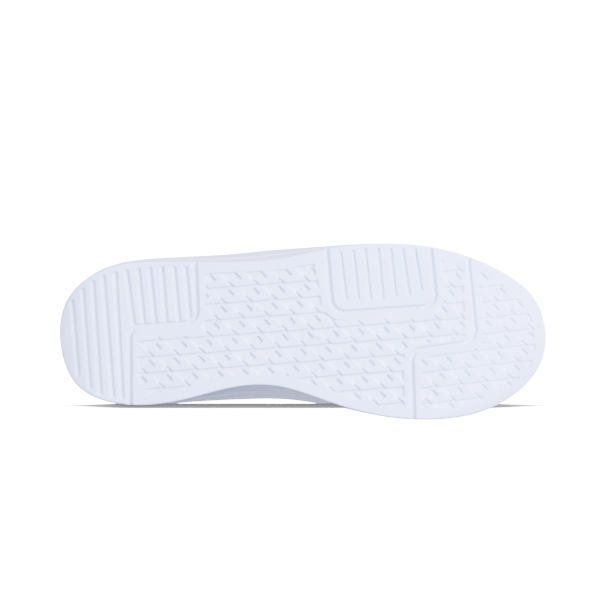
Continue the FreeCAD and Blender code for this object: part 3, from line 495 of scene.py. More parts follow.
def foam():
    # the foam's own pale tone, darkened and tinted blue as painted shade for the shade its sides lie in
    m, tree, p = material("midsole_foam", (0.70, 0.71, 0.85), rough=0.62, spec=0.35)
    at = coordinates(tree)
    tint(tree, p, noise(tree, at, 24, 4), (0.68, 0.69, 0.835), (0.72, 0.73, 0.86), 0.3, 0.7)
    cells = node(tree, "ShaderNodeTexVoronoi", Scale=900.0)
    tree.links.new(at, cells.inputs["Vector"])
    bump(tree, p, [(cells.outputs["Distance"], 0.25, 0.00012), (noise(tree, at, 120, 3), 0.15, 0.0002)])
    return m


def leather(name, base, wear=0.02):
    m, tree, p = material(name, base, rough=0.46, sheen=0.05, spec=0.42)
    at = coordinates(tree)
    dark = tuple(c - wear for c in base)
    tint(tree, p, noise(tree, at, 40, 5), dark, base, 0.3, 0.62)
    grain = node(tree, "ShaderNodeTexVoronoi", Scale=950.0, feature="DISTANCE_TO_EDGE")
    tree.links.new(at, grain.inputs["Vector"])
    deep = tree.nodes.new("ShaderNodeMath")
    deep.operation = "MINIMUM"
    deep.inputs[1].default_value = 0.12
    tree.links.new(grain.outputs["Distance"], deep.inputs[0])
    creased, uneven = noise(tree, at, 260, 4), noise(tree, at, 34, 2)
    bump(tree, p, [(deep.outputs[0], 0.8, 0.0008), (creased, 0.55, 0.0009), (uneven, 0.35, 0.0025)])
    return m


def knit(name, base, scale=1400.0, strength=0.5, sheen=0.25):
    """Fine mesh or brushed knit, from two crossed waves."""
    m, tree, p = material(name, base, rough=0.85, sheen=sheen, spec=0.2)
    at = coordinates(tree, uv=True)
    waves = []
    for direction in ("X", "Y"):
        w = node(tree, "ShaderNodeTexWave", Scale=scale, Distortion=0.6, bands_direction=direction)
        w.inputs["Detail Scale"].default_value = 2.0
        tree.links.new(at, w.inputs["Vector"])
        waves.append(w.outputs["Fac"])
    both = tree.nodes.new("ShaderNodeMath")
    both.operation = "MULTIPLY"
    tree.links.new(waves[0], both.inputs[0])
    tree.links.new(waves[1], both.inputs[1])
    dark = tuple(c * 0.86 for c in base)
    tint(tree, p, both.outputs[0], dark, base, 0.0, 0.7)
    bump(tree, p, [(both.outputs[0], strength, 0.0004), (noise(tree, coordinates(tree), 60, 3), 0.2, 0.0008)])
    return m


def woven(name, base):
    """Flat woven lace: a herringbone from slanting waves that mirror at the middle."""
    m, tree, p = material(name, base, rough=0.78, sheen=0.3, spec=0.25)
    at = coordinates(tree, uv=True)
    split = tree.nodes.new("ShaderNodeSeparateXYZ")
    tree.links.new(at, split.inputs[0])
    fold = node(tree, "ShaderNodeMath", operation="PINGPONG")
    fold.inputs[1].default_value = 0.0027
    tree.links.new(split.outputs["Y"], fold.inputs[0])
    join = tree.nodes.new("ShaderNodeCombineXYZ")
    tree.links.new(split.outputs["X"], join.inputs["X"])
    tree.links.new(fold.outputs[0], join.inputs["Y"])
    w = node(tree, "ShaderNodeTexWave", Scale=260.0, Distortion=0.0, bands_direction="DIAGONAL")
    tree.links.new(join.outputs[0], w.inputs["Vector"])
    tint(tree, p, w.outputs["Fac"], tuple(c * 0.84 for c in base), base, 0.1, 0.6)
    bump(tree, p, [(w.outputs["Fac"], 0.6, 0.00045), (noise(tree, at, 900, 2), 0.3, 0.0002)])
    return m


def plain(name, colour, rough, grain, depth, vary=0.03, spec=0.4, sheen=0.0):
    """A simple finish whose tone, polish and surface still vary a little."""
    m, tree, p = material(name, colour, rough=rough, sheen=sheen, spec=spec)
    at = coordinates(tree)
    broad = noise(tree, at, 90, 3)
    tint(tree, p, broad, tuple(c * (1 - vary) for c in colour), colour)
    polish = node(tree, "ShaderNodeMapRange")
    polish.inputs["To Min"].default_value = rough - 0.07
    polish.inputs["To Max"].default_value = rough + 0.07
    tree.links.new(broad, polish.inputs["Value"])
    tree.links.new(polish.outputs["Result"], p.inputs["Roughness"])
    bump(tree, p, [(noise(tree, at, grain, 4), 0.5, depth)])
    return m


WHITE = (0.86, 0.865, 0.895)
RUBBER, FOAM = rubber(), foam()
LEATHER = leather("upper_leather", WHITE)
OVERLAY_LEATHER = leather("overlay_leather", (0.875, 0.88, 0.91), 0.015)
MESH_LINING = knit("lining_fabric", (0.8, 0.81, 0.845), 1100.0, 0.6)
BRUSHED = knit("sockliner_fabric", (0.78, 0.79, 0.83), 700.0, 0.4, 0.5)
LACE = woven("lace_fabric", (0.885, 0.885, 0.91))
# the thread is a little darker than the leather: partly its own tone, partly painted shade standing in for
# the stitches' small shadows
THREAD = plain("thread", (0.8, 0.81, 0.86), 0.6, 2400.0, 0.00012, 0.1, sheen=0.3)
LACQUER = plain("eyelet_lacquer", (0.86, 0.865, 0.9), 0.25, 700.0, 0.00003, spec=0.6)
EYELET_HOLE_SHADE = plain("eyelet_shadow", (0.12, 0.12, 0.13), 0.85, 500.0, 0.0002, 0.25)
FILM = plain("aglet_film", (0.86, 0.87, 0.9), 0.18, 450.0, 0.00005, 0.05, spec=0.6)
BOARD = plain("board", (0.72, 0.71, 0.68), 0.88, 1500.0, 0.0002, 0.12)


# ---- tread depth ----
def polygon_distance(points, px, py):
    """Signed distance to a closed polygon, negative inside."""
    points = np.asarray(points, float)
    best = np.full(px.shape, 1e9)
    inside = np.zeros(px.shape, bool)
    for (x0, y0), (x1, y1) in zip(points, np.roll(points, -1, axis=0)):
        ex, ey = x1 - x0, y1 - y0
        t = np.clip(((px - x0) * ex + (py - y0) * ey) / (ex * ex + ey * ey), 0, 1)
        best = np.minimum(best, np.hypot(px - x0 - t * ex, py - y0 - t * ey))
        if y1 != y0:
            crosses = ((y0 > py) != (y1 > py)) & (px < ex * (py - y0) / ey + x0)
            inside ^= crosses
    return np.where(inside, -best, best)


def line_distance(points, px, py):
    """Distance to an open run of straight lines."""
    best = np.full(px.shape, 1e9)
    for (x0, y0), (x1, y1) in zip(points[:-1], points[1:]):
        ex, ey = x1 - x0, y1 - y0
        t = np.clip(((px - x0) * ex + (py - y0) * ey) / (ex * ex + ey * ey), 0, 1)
        best = np.minimum(best, np.hypot(px - x0 - t * ex, py - y0 - t * ey))
    return best


def rounded(path):
    """The points of a path whose corners are arcs."""
    out, path = [], [np.array(p, float) for p in path]
    for i, p in enumerate(path):
        here, radius = p[:2], p[2]
        if not radius:
            out.append(here)
            continue
        back, on = unit(path[i - 1][:2] - here), unit(path[i + 1][:2] - here)
        half = math.acos(np.clip(back @ on, -1, 1)) / 2
        middle = here + unit(back + on) * (radius / math.sin(half))
        a = here + back * (radius / math.tan(half)) - middle
        b = here + on * (radius / math.tan(half)) - middle
        w0, w1 = math.atan2(a[1], a[0]), math.atan2(b[1], b[0])
        turn = (w1 - w0 + math.pi) % (2 * math.pi) - math.pi
        for t in np.linspace(0, 1, 13):
            out.append(middle + radius * np.array([math.cos(w0 + turn * t), math.sin(w0 + turn * t)]))
    return np.array(out)


def path_offset(points, px, py):
    """Distance from an open path, signed: positive on its right-hand and lateral side."""
    best, sign = np.full(px.shape, 1e9), np.ones(px.shape)
    for (x0, y0), (x1, y1) in zip(points[:-1], points[1:]):
        ex, ey = x1 - x0, y1 - y0
        t = np.clip(((px - x0) * ex + (py - y0) * ey) / (ex * ex + ey * ey), 0, 1)
        dx, dy = px - x0 - t * ex, py - y0 - t * ey
        d = np.hypot(dx, dy)
        near = d < best
        best = np.where(near, d, best)
        sign = np.where(near, np.sign(dx - dy * 1.2 + 1e-9), sign)
    return best * sign


def groove(depth, width, off, wall=0.75, shade=1.15):
    """A channel whose floor falls slightly towards its far wall."""
    walls = 1 - ramp(width / 2 - wall, width / 2, np.abs(off))
    return depth * walls * (1 + 0.22 * np.clip(off / (width / 2), -1, 1)) * shade


def lug_depth(px, py, zone, first, tilt):
    """Shingled lugs: the floor is deep under each lug's medial wall and climbs to the next one."""
    c, s = math.cos(math.radians(tilt)), math.sin(math.radians(tilt))
    depth = np.zeros(px.shape)
    box = np.array(zone)
    pick = (px > box[:, 0].min()) & (px < box[:, 0].max()) & (py > box[:, 1].min()) & (py < box[:, 1].max())
    x, y = px[pick] - first[0], py[pick] - first[1]
    # lattice cell of each point
    ax, ay, bx, by = LUG_ALONG * c, LUG_ALONG * s, LUG_ACROSS[0], LUG_ACROSS[1]
    det = ax * by - ay * bx
    ci, cj = np.round((x * by - y * bx) / det), np.round((ax * y - ay * x) / det)
    lug, fall = np.full(x.shape, 1e9), np.full(x.shape, 1e9)
    for di in range(-2, 3):
        for dj in range(-2, 2):
            gx, gy = x - (ci + di) * ax - (cj + dj) * bx, y - (ci + di) * ay - (cj + dj) * by
            a, b = c * gx + s * gy, -s * gx + c * gy
            lug = np.minimum(lug, polygon_distance(LUG, a, b))
            fall = np.minimum(fall, line_distance(LUG[5:10], a, b))
            fall = np.minimum(fall, line_distance(LUG[0:2], a, b) + 0.6)
    floor = 1.2 - 0.4 * np.clip((fall - 1.1) / 3.6, 0, 1) - 0.12 * ramp(1.0, 1.3, fall)
    wall = ramp(0.0, 0.5, lug)
    inside = ramp(0.0, 0.5, -polygon_distance(zone, px[pick], py[pick]))
    depth[pick] = floor * wall * inside
    return depth


def sawtooth(depth, width, off):
    """A rib groove: a long slope down towards the toe and a short wall."""
    s = off / (width / 2)
    return depth * np.where(s < 0.2, ramp(-1.25, 0.3, s), 1 - ramp(0.2, 1.0, s)) * (s > -1.25)


def tread_depth(px, py):
    depth = np.maximum(lug_depth(px, py, MID_ZONE, *MID_LUGS), lug_depth(px, py, TOE_ZONE, *TOE_LUGS))
    for path, width in (HEEL_GROOVE, PAD_GROOVE, TOE_GROOVE):
        depth = np.maximum(depth, groove(1.3, width + 0.3, path_offset(rounded(path), px, py), 0.8))
    for rows, width, deep, wall in ((HEEL_RIBS, 3.6, 1.3, 1.5), (PAD_RIBS, 2.1, 0.85, 0.8)):
        for x0, y0, x1, y1 in rows:
            ex, ey = x1 - x0, y1 - y0
            long = math.hypot(ex, ey)
            t = ((px - x0) * ex + (py - y0) * ey) / long
            across = ((px - x0) * ey - (py - y0) * ex) / long
            ends = ramp(-0.9, 0.2, t) * ramp(-0.9, 0.2, long - t)
            cut = sawtooth(deep, width, across) if width > 3 else groove(deep, width, across, wall)
            depth = np.maximum(depth, cut * ends)
    pin = np.hypot(px - 8.6, py - 4.9)
    depth = np.maximum(depth, 0.9 * (1 - ramp(0.5, 1.1, pin)))
    for x, y, r in ((85.3, -42.8, 1.3), (138.0, -12.4, 0.45)):
        depth = np.maximum(depth, 0.7 * (1 - ramp(r * 0.5, r, np.hypot(px - x, py - y))))
    return depth


# ---- sole ----
def half_stations(count):
    """Stations at even steps down the lateral side and back up the medial side."""
    j = np.arange(count)
    return np.where(j < count / 2, 16.2 * j / (count / 2), 16.2 + 16.8 * (j - count / 2) / (count / 2))


def ladder(first, count, flip=False):
    """Faces that close a ring of vertices across the shoe, pairing its two sides."""
    j = np.arange(count // 2)
    a, b = first + j, first + (j + 1)
    c, d = first + (count - j - 1) % count, first + (count - j) % count
    quads = [list(dict.fromkeys(q)) for q in np.stack([a, b, c, d], -1).tolist()]
    quads = [q for q in quads if len(q) > 2]
    return [q[::-1] for q in quads] if flip else quads


def outsole():
    """The underside is a fine grid whose height carries the tread; the side rises from its edge."""
    step = 0.46
    q = np.arange(1, int(math.sqrt(5.0 / 0.012)) + 1)
    ends = 0.012 * q ** 2
    inner = np.arange(-150 + ends[-1] + step, 150 - ends[-1], step)
    dense = np.linspace(0, 33, 8001)
    ring = outline(dense)
    first, last = dense[np.argmin(np.where(dense < 16, ring[:, 0], 9e9))], dense[np.argmax(ring[:, 0])]
    tail = outline(np.array([first, last]))
    xs = np.concatenate([tail[0, 0] + ends, inner, (tail[1, 0] - ends)[::-1]])
    lateral_u = np.linspace(first, last, 6000)
    medial_u = np.linspace(last, first + 33, 6000)[::-1]
    ul = np.interp(xs, outline(lateral_u)[:, 0], lateral_u)
    um = np.interp(xs, outline(medial_u)[:, 0], medial_u)
    lat, med = outline(ul), outline(um)
    across = int(round(108 / step))
    t = np.linspace(0, 1, across + 1)
    px = np.repeat(xs[:, None], len(t), 1)
    py = lat[:, 1:2] + (med[:, 1:2] - lat[:, 1:2]) * t[None, :]
    edge = np.minimum(py - lat[:, 1:2], med[:, 1:2] - py)
    slope = np.abs(np.gradient(lat[:, 1], xs))[:, None]
    edge = edge / np.sqrt(1 + np.minimum(slope, 6) ** 2)
    soft = 1.1
    roll = soft - np.sqrt(np.maximum(soft ** 2 - np.maximum(soft - edge, 0) ** 2, 0))
    pz = ground(px) + tread_depth(px, py) * ramp(-0.2, 0.4, edge) + roll
    n_rows, n_cols = px.shape
    verts = [np.stack([px, py, pz], -1).reshape(-1, 3)]
    faces = grid_faces(n_rows, n_cols, flip=True).tolist()
    # the side, from the grid's border upwards
    border = np.concatenate([np.arange(n_rows) * n_cols, (np.arange(n_rows)[::-1] + 1) * n_cols - 1])
    bu = np.concatenate([ul, um[::-1]])
    base = verts[0][border]
    heights = [1.5, 3.2, 5.0, 6.8, 8.2, 8.8, 9.0, 9.0]
    insets = [-0.02, 0.0, 0.0, 0.0, 0.05, 0.25, 0.7, LIP_WALL]
    start = n_rows * n_cols
    ring_n = len(border)
    ahead = (np.arange(ring_n) + 1) % ring_n
    previous = border
    for h, inset in zip(heights, insets):
        g = ground(base[:, 0])
        pts = sidewall(bu, np.full(ring_n, h), inset)
        lean = ramp(0, 3.2, h)
        pts[:, :2] = base[:, :2] * (1 - lean) + pts[:, :2] * lean if h < 3.2 else pts[:, :2]
        pts[:, 2] = g + h
        verts.append(pts)
        now = start + np.arange(ring_n)
        faces += np.stack([previous, previous[ahead], now[ahead], now], -1).tolist()
        previous = now
        start += ring_n
    faces += ladder(int(previous[0]), ring_n)
    obj = mesh("outsole_rubber_cup", np.concatenate(verts), faces, RUBBER)
    # how deep the tread lies at each point; the rubber uses it to paint the recess floors lighter, as painted
    # light
    recess_highlight = np.zeros(len(obj.data.vertices))
    recess_highlight[:n_rows * n_cols] = np.clip(tread_depth(px, py).ravel() / 1.1, 0, 1)
    obj.data.attributes.new("recess_highlight", "FLOAT", "POINT").data.foreach_set("value", recess_highlight)
    return obj


def ringed(name, profile, finish, count):
    """A closed body from rings round the shoe: each row of the profile gives the points of a ring."""
    u = half_stations(count)
    rings = [row(u) for row in profile]
    verts = np.stack(rings, 0).reshape(-1, 3)
    faces = []
    for r in range(len(rings) - 1):
        i = np.arange(count)
        a, b = r * count + i, r * count + (i + 1) % count
        faces += np.stack([a, b, b + count, a + count], -1).tolist()
    faces += ladder(0, count, flip=True) + ladder((len(rings) - 1) * count, count)
    return mesh(name, verts, faces, finish)


def midsole():
    """Foam body with a rounded lower edge, a moulded line round its side and a rolled rim."""
    proud = 0.45

    def wall(share, inset):
        def ring(u):
            low = ground(outline(u)[:, 0]) + LIP_TOP + 0.12
            top = rim(outline(u)[:, 0])[:, 0]
            h = low + (top - low) * share
            return sidewall(u, h, inset)
        return ring

    def inner(drop, inset):
        def ring(u):
            p = sidewall(u, np.full(u.shape, 42.0), inset)
            p[:, 2] = rim(p[:, 0])[:, 0] - drop
            return p
        return ring

    def bed(inset):
        def ring(u):
            p = sidewall(u, np.full(u.shape, 42.0), inset)
            p[:, 2] = footbed(p[:, 0])[:, 0]
            return p
        return ring

    # shares of the side's height, and how far in from its face
    side = [(0.0, 0.35), (0.02, 0.08), (0.05, 0), (0.1, 0), (0.24, 0), (0.262, 0.1), (0.285, 0.5),
            (0.31, 0.5), (0.33, 0.1), (0.35, 0), (0.55, 0), (0.75, 0), (0.78, -0.02), (0.8, 0.15),
            (0.82, 0.35), (0.84, 0.35), (0.86, 0.2), (0.93, 0.25), (0.965, 0.45), (0.99, 0.9), (1.0, 1.5)]
    gap = RIM_WALL - RIM_GAP
    profile = [wall(0.0, 3.2), wall(0.0, 0.3)] + [wall(share, inset - proud) for share, inset in side]
    profile += [inner(0.0, gap - 0.8), inner(0.25, gap - 0.2), inner(0.9, gap), bed(gap)]
    return ringed("midsole_foam_body", profile, FOAM, 720)


def footbed_pad():
    """The removable footbed: its rim curls up along the lining and its middle is dished."""
    count, rings = ((360, 16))
    u = half_stations(count)
    inset = LINING_AT + LINING + 1.0 + RIM_WALL
    edge = sidewall(u, np.full(u.shape, 42.0), inset)
    middle = np.interp(edge[:, 0], [-150, -60, 60, 150], [0, -3, 2, 2])
    spine = np.stack([edge[:, 0] * 0.965, middle, np.zeros(count)], -1)
    verts, faces, uv = [], [], []
    for layer in (1, 0):
        for r in range(rings + 1):
            t = r / rings
            p = spine * t + edge * (1 - t)
            base = footbed(p[:, 0])[:, 0] + STROBEL + 0.3
            heel = 1 - ramp(-70, 10, p[:, 0])
            lift = 3.8 + (3.4 * heel + 0.6) * (1 - t) ** 3 - 0.5 * heel * ramp(0.3, 1, t)
            p[:, 2] = base + (lift * (1 - 0.25 * max(0, 1 - t * rings / 1.5)) if layer else 0.0)
            verts.append(p)
            uv.append(p[:, :2].copy())
        first = (0 if layer else (rings + 1) * count)
        for r in range(rings):
            i = np.arange(count)
            a, b = first + r * count + i, first + r * count + (i + 1) % count
            q = np.stack([a, b, b + count, a + count], -1)
            faces += (q if layer else q[:, ::-1]).tolist()
    i = np.arange(count)
    a, b = i, (i + 1) % count
    other = (rings + 1) * count
    faces += np.stack([b, a, a + other, b + other], -1).tolist()
    return mesh("footbed_pad", np.concatenate(verts), faces, BRUSHED, np.concatenate(uv), merge=True)


def lasting_board():
    """The flat board under the footbed, sewn to the upper's edge."""
    def ring(height, inset):
        def points(u):
            p = sidewall(u, np.full(u.shape, 42.0), RIM_WALL + inset)
            p[:, 2] = footbed(p[:, 0])[:, 0] + height
            return p
        return points
    profile = [ring(0.12, 1.2), ring(0.12, 0.7), ring(STROBEL - 0.05, 0.7), ring(STROBEL - 0.05, 1.2)]
    return ringed("lasting_board", profile, BOARD, 320)


# ---- build ----
bends = []     # pieces that cross the ball of the foot


def crossing(obj, *nodes):
    if nodes:
        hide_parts(*nodes)
    bends.append(obj)
    return obj


def rear(obj, *nodes):
    if nodes:
        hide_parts(*nodes)
    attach(obj, "rearfoot")
    return obj


crossing(outsole(), "outsole")
crossing(midsole(), "midsole")
crossing(lasting_board(), "strobel_board")
sockliner = crossing(footbed_pad(), "sockliner")

SEAM = (11.55, 20.5)


def creases(u, k):
    """Soft flex creases across the vamp behind the toe."""
    p = upper(u, k)
    across = np.exp(-((p[..., 0] - 78) / 12) ** 2)
    return -0.35 * across * (0.5 + 0.5 * np.cos(p[..., 0] * 0.75 + 0.03 * p[..., 1])) * ramp(0.35, 0.6, k)


def softness(u, k):
    """Slight waviness of a worn-in quarter."""
    p = upper(u, k)
    waves = np.sin(p[..., 0] * 0.11 + p[..., 2] * 0.07) * np.sin(p[..., 2] * 0.16 + 1.3)
    return 0.16 * waves * ramp(0.1, 0.4, k) * (1 - ramp(0.8, 0.95, k))


fine = 1.0


def steps(count):
    return max(6, int(count * fine))


PANELS = [
    ("vamp", "leather", SEAM[0] - 0.25, SEAM[1] + 0.25, 0.0, (-SHELL - 0.35, -0.35),
     LEATHER, 160, 60, creases),
    ("quarter_lateral", "leather", 0.03, SEAM[0], 0.0, (-SHELL, 0.0), LEATHER, 180, 46, softness),
    ("quarter_medial", "leather", SEAM[1], STATIONS - 0.03, 0.0, (-SHELL, 0.0), LEATHER, 180, 46, softness),
    ("vamp_lining", "mesh", SEAM[0] - 0.2, SEAM[1] + 0.2, 0.01, (-LINING_AT - LINING, -LINING_AT),
     MESH_LINING, 80, 30, None),
]
for panel, stuff, u0, u1, foot, heights, finish, nu, nk, wave in PANELS:
    piece = patch(f"{panel}_{stuff}", u0, u1, foot, 1.0, heights, finish, steps(nu), steps(nk), wave)
    crossing(piece, panel)


def collar_roll():
    """Lining that rises inside, rolls over the padded collar and is sewn down on the shell's edge."""
    u = np.linspace(SEAM[1], STATIONS + SEAM[0], steps(420))
    ankle = padding(u, np.full(u.shape, 0.76)) / 6.0
    rows = []
    inner_ks = np.concatenate([np.linspace(0.012, 0.45, 10), np.linspace(0.5, 0.97, steps(26))])
    puff = 1 + 0.05 * np.sin(u * 5.1) + 0.04 * np.sin(u * 11.7 + 1)
    for k in inner_ks:
        kk = np.full(u.shape, k)
        rows.append(on_upper(u, kk, -LINING_AT - LINING - padding(u, kk) * puff))
    # over the top: half a turn from the lining's face to the shell's edge
    top = np.full(u.shape, 1.0)
    normal = upper_normal(u, top)
    up = unit(opening(u) - (opening(u) + top_handle(u)))
    deep = LINING_AT + LINING + padding(u, top)
    high = 1.0 + 2.6 * ankle
    centre_d = -(deep + 0.25) / 2
    for w in np.linspace(math.radians(172), math.radians(8), steps(16)):
        depth = centre_d + (deep - 0.25) / 2 * math.cos(w)
        rows.append(opening(u) + normal * depth[:, None] + up * (high * math.sin(w))[:, None])
    for k, d in ((0.992, -0.3), (0.985, -1.2), (0.97, -SHELL - 0.15)):
        rows.append(on_upper(u, np.full(u.shape, k), np.full(u.shape, d)))
    outer_ks = np.concatenate([np.linspace(0.93, 0.5, steps(14)), np.linspace(0.45, 0.012, 8)])
    for k in outer_ks:
        kk = np.full(u.shape, k)
        rows.append(on_upper(u, kk, np.full(u.shape, -SHELL - 0.2)))
    verts = np.stack(rows, 1)
    uv = np.zeros(verts.shape[:2] + (2,))
    uv[..., 0] = run_along(verts[:, 10])[:, None]
    uv[..., 1] = run_along(verts[len(u) // 2])[None, :]
    rows_n, cols_n = verts.shape[:2]
    faces = grid_faces(rows_n, cols_n).tolist()
    last = np.arange(1, rows_n) * cols_n - 1
    faces += np.stack([last, last + cols_n, last + 1, last + 1 - cols_n], -1).tolist()
    return mesh("collar_and_lining", verts.reshape(-1, 3), faces, MESH_LINING, uv.reshape(-1, 2), merge=True)


collar = crossing(collar_roll(), "quarter_lining", "collar_foam")


def toe_edge(peak, foot, reach):
    return lambda u: foot + (peak - foot) * (1 - ramp(0.4, reach, np.abs(u - TOE)))


toe_top = toe_edge(0.52, 0.25, 3.0)
toe_cap = patch("toe_cap_leather", 13.0, 19.1, above_rim, toe_top, OVERLAY, OVERLAY_LEATHER,
                steps(90), steps(20))
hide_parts("toe_cap")
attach(toe_cap, "forefoot")


def seam_row(name, us, ks, height, body=None):
    """Stitches along stations us and heights ks of the upper."""
    us, ks = np.asarray(us, float), np.asarray(ks, float)
    points = on_upper(us, ks, np.full(us.shape, height))
    obj = stitches(name, points, upper_normal(us, ks), THREAD)
    if body is None:
        bends.append(obj)
    else:
        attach(obj, body)
    return obj


us = np.linspace(13.15, 18.95, 160)
for row, inset in enumerate((0.022, 0.05)):
    seam_row(f"toe_cap_stitch_{row}", us, toe_top(us) - inset, OVERLAY[1], "forefoot")
for side, u0, u1, sign in (("lateral", SEAM[0], SEAM[0], -1), ("medial", SEAM[1], SEAM[1], 1)):
    ks = np.linspace(0.2, 0.7, 80)
    for row in (0.1, 0.22):
        seam_row(f"vamp_seam_{side}_{'a' if row < 0.2 else 'b'}", np.full(80, u0 + sign * row), ks, 0.02)


def foxing_top(back):
    return lambda u: 0.27 + 0.27 * (1 - ramp(1.5, 5.5, np.abs(u - back)))


FOXINGS = [("lateral", STATIONS + 0.03, STATIONS + 8.0), ("medial", STATIONS - 7.2, STATIONS - 0.03)]
for side, u0, u1 in FOXINGS:
    top = foxing_top(STATIONS)
    piece = patch(f"foxing_{side}_leather", u0, u1, above_rim, top, OVERLAY, OVERLAY_LEATHER,
                  steps(110), steps(14))
    rear(piece, f"foxing_{side}")
    us = np.linspace(u0 + 0.12, u1 - 0.15, 160)
    for row, inset in enumerate((0.024, 0.055)):
        seam_row(f"foxing_{side}_stitch_{row}", us, top(us) - inset, OVERLAY[1], "rearfoot")

piece = patch("heel_tab_leather", STATIONS - 1.5, STATIONS + 1.5, 0.64, 1.0, OVERLAY, OVERLAY_LEATHER,
              steps(40), steps(22))
rear(piece, "heel_tab")
ks = np.linspace(0.67, 0.975, 60)
for row, inset in enumerate((0.09, 0.2)):
    for side, way in (("l", 1), ("m", -1)):
        us = np.full(60, STATIONS + way * (1.5 - inset))
        seam_row(f"heel_tab_stitch_{side}{row}", us, ks, OVERLAY[1], "rearfoot")
us = np.linspace(STATIONS - 1.38, STATIONS + 1.38, 60)
seam_row("heel_tab_stitch_low", us, np.full(60, 0.662), OVERLAY[1], "rearfoot")


def stay_edge(corner):
    def edge(u):
        front = ramp(11.4, 16.0, TOE - np.abs(u - TOE))
        return 0.72 + 0.175 * front + 0.12 * (1 - ramp(0.0, 0.8, np.abs(u - corner)))
    return edge


for side, u0, u1, corner in (("lateral", 7.9, TOE - 0.012, 7.9), ("medial", TOE + 0.012, 25.0, 25.0)):
    edge = stay_edge(corner)
    piece = patch(f"eyestay_{side}_leather", u0, u1, edge, 1.0, OVERLAY, OVERLAY_LEATHER,
                  steps(150), steps(18))
    crossing(piece, f"eyestay_{side}")
    us = np.linspace(u0 + (0.15 if side == "lateral" else 0.0), u1 - (0.15 if side == "medial" else 0.0), 240)
    for row, inset in enumerate((0.022, 0.048)):
        seam_row(f"eyestay_{side}_stitch_{row}", us, edge(us) + inset, OVERLAY[1])
    seam_row(f"eyestay_{side}_stitch_edge", us, np.full(240, 0.978), OVERLAY[1])


def side_bar(side, u0, u1, lean):
    """Plain slanting reinforcement on a quarter's side."""
    half = (OVERLAY[1] - OVERLAY[0]) / 2
    low, high = 0.24, 0.66
    wide = np.linalg.norm(upper(u1, 0.45) - upper(u0, 0.45))
    tall = np.linalg.norm(upper(u0, high) - upper(u0, low))
    across, upwards = border_steps(wide, half, steps(30)), border_steps(tall, half, steps(30))
    t = upwards / tall
    uu = u0 + (u1 - u0) * (across / wide)[:, None] + lean * t[None, :]
    kk = np.repeat((low + (high - low) * t)[None, :], len(across), 0)
    bar = closed_sheet(f"side_bar_{side}_leather", uu, kk, across, upwards, OVERLAY, OVERLAY_LEATHER)
    rear(bar, f"side_bar_{side}")
    t = np.linspace(0.04, 0.96, 60)
    for name, share in (("front", 0.93), ("back", 0.07)):
        us = u0 + (u1 - u0) * share + lean * t
        seam_row(f"side_bar_{side}_stitch_{name}", us, low + (high - low) * t, OVERLAY[1], "rearfoot")


side_bar("lateral", 8.2, 9.3, -0.9)
side_bar("medial", 23.3, 24.5, 0.9)


# ---- tongue ----
tongue_rows = spline([(i, *row) for i, row in enumerate(TONGUE)])


def tongue_point(s, t, depth):
    """s runs from the vamp to the tip, t from -1 on the lateral edge to 1, depth is under the crown."""
    x, z, half, radius, _ = np.moveaxis(tongue_rows(s), -1, 0)
    d = tongue_rows(s + 0.01) - tongue_rows(s - 0.01)
    size = np.hypot(d[..., 0], d[..., 1])
    up = np.stack([d[..., 1] / size, 0 * x, -d[..., 0] / size], -1)
    up *= np.where(up[..., 2:] < 0, -1, 1)
    angle, reach = t * half / radius, radius - depth
    crown = np.stack([x, 0 * x, z], -1)
    beside = np.stack([0 * x, reach * np.sin(angle), 0 * x], -1)
    return crown + up * (reach * np.cos(angle) - radius)[..., None] + beside


def tongue():
    """Padded pillow: leather on top, mesh underneath, with a sewn edge and one cross channel."""
    ns, nt = steps(110), steps(64)
    last = len(TONGUE) - 1
    s1, t1 = np.linspace(0, 1, ns), np.linspace(-1, 1, nt)
    ss, tt = np.meshgrid(s1, t1, indexing="ij")
    s = ss * last
    # rounded corners at the tip
    reach = 1 - 0.17 * np.clip((ss - 0.9) / 0.1, 0, 1) ** 2
    tt2 = tt * reach
    thick = tongue_rows(s)[..., 4]
    edge = np.minimum((1 - np.abs(tt)) * 24, (1 - ss) * 30)
    edge = np.minimum(edge, ss * 100 + 1.2)
    hem = quarter_round(edge / 1.5) * (0.42 + 0.58 * ramp(2.5, 8.0, edge))
    stitch_dip = 1 - 0.35 * np.exp(-((edge - 3.2) / 0.8) ** 2)
    channel = 1 - 0.32 * np.exp(-((s - 4.35) / 0.045) ** 2) * (1 - ramp(0.7, 0.9, np.abs(tt)))
    puff = 1 + 0.05 * np.sin(s * 6.0 + 1) * np.cos(tt * 4)
    half = thick / 2 * hem * stitch_dip * channel * puff
    top = tongue_point(s, tt2, thick / 2 - half)
    under = tongue_point(s, tt2, thick / 2 + half)
    count = ns * nt
    verts = np.concatenate([top.reshape(-1, 3), under.reshape(-1, 3)])
    run = run_along(top[:, nt // 2])
    uv = np.stack([np.repeat(run[:, None], nt, 1), tt * 24 + 24], -1).reshape(-1, 2)
    a, b = grid_faces(ns, nt), grid_faces(ns, nt, count, flip=True)
    slots = np.concatenate([np.zeros(len(a)), np.ones(len(b))])
    obj = mesh("tongue_pad", verts, np.concatenate([a, b]), [LEATHER, MESH_LINING], np.tile(uv, (2, 1)),
               merge=True, slots=slots)
    # thread along the hem
    path, normals = [], []
    for s_, t_ in [(x, -0.87) for x in np.linspace(2.2, last - 0.35, 80)] + \
                  [(last - 0.35, y) for y in np.linspace(-0.8, 0.8, 40)] + \
                  [(x, 0.87) for x in np.linspace(last - 0.35, 2.2, 80)]:
        here = np.array(s_)
        h = float(tongue_rows(here)[4])
        e = min((1 - abs(t_)) * 24, (1 - s_ / last) * 30)
        hem_ = float(quarter_round(e / 1.5)) * (0.42 + 0.58 * float(ramp(2.5, 8.0, e)))
        d = h / 2 * (1 - hem_ * (1 - 0.35 * math.exp(-((e - 3.2) / 0.8) ** 2)))
        p = tongue_point(here, np.array(t_), np.array(d))
        normals.append(unit(tongue_point(here, np.array(t_), np.array(d - 1.0)) - p))
        path.append(p)
    thread = stitches("tongue_stitch", np.array(path), np.array(normals), THREAD)
    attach(thread, "tongue")
    return obj


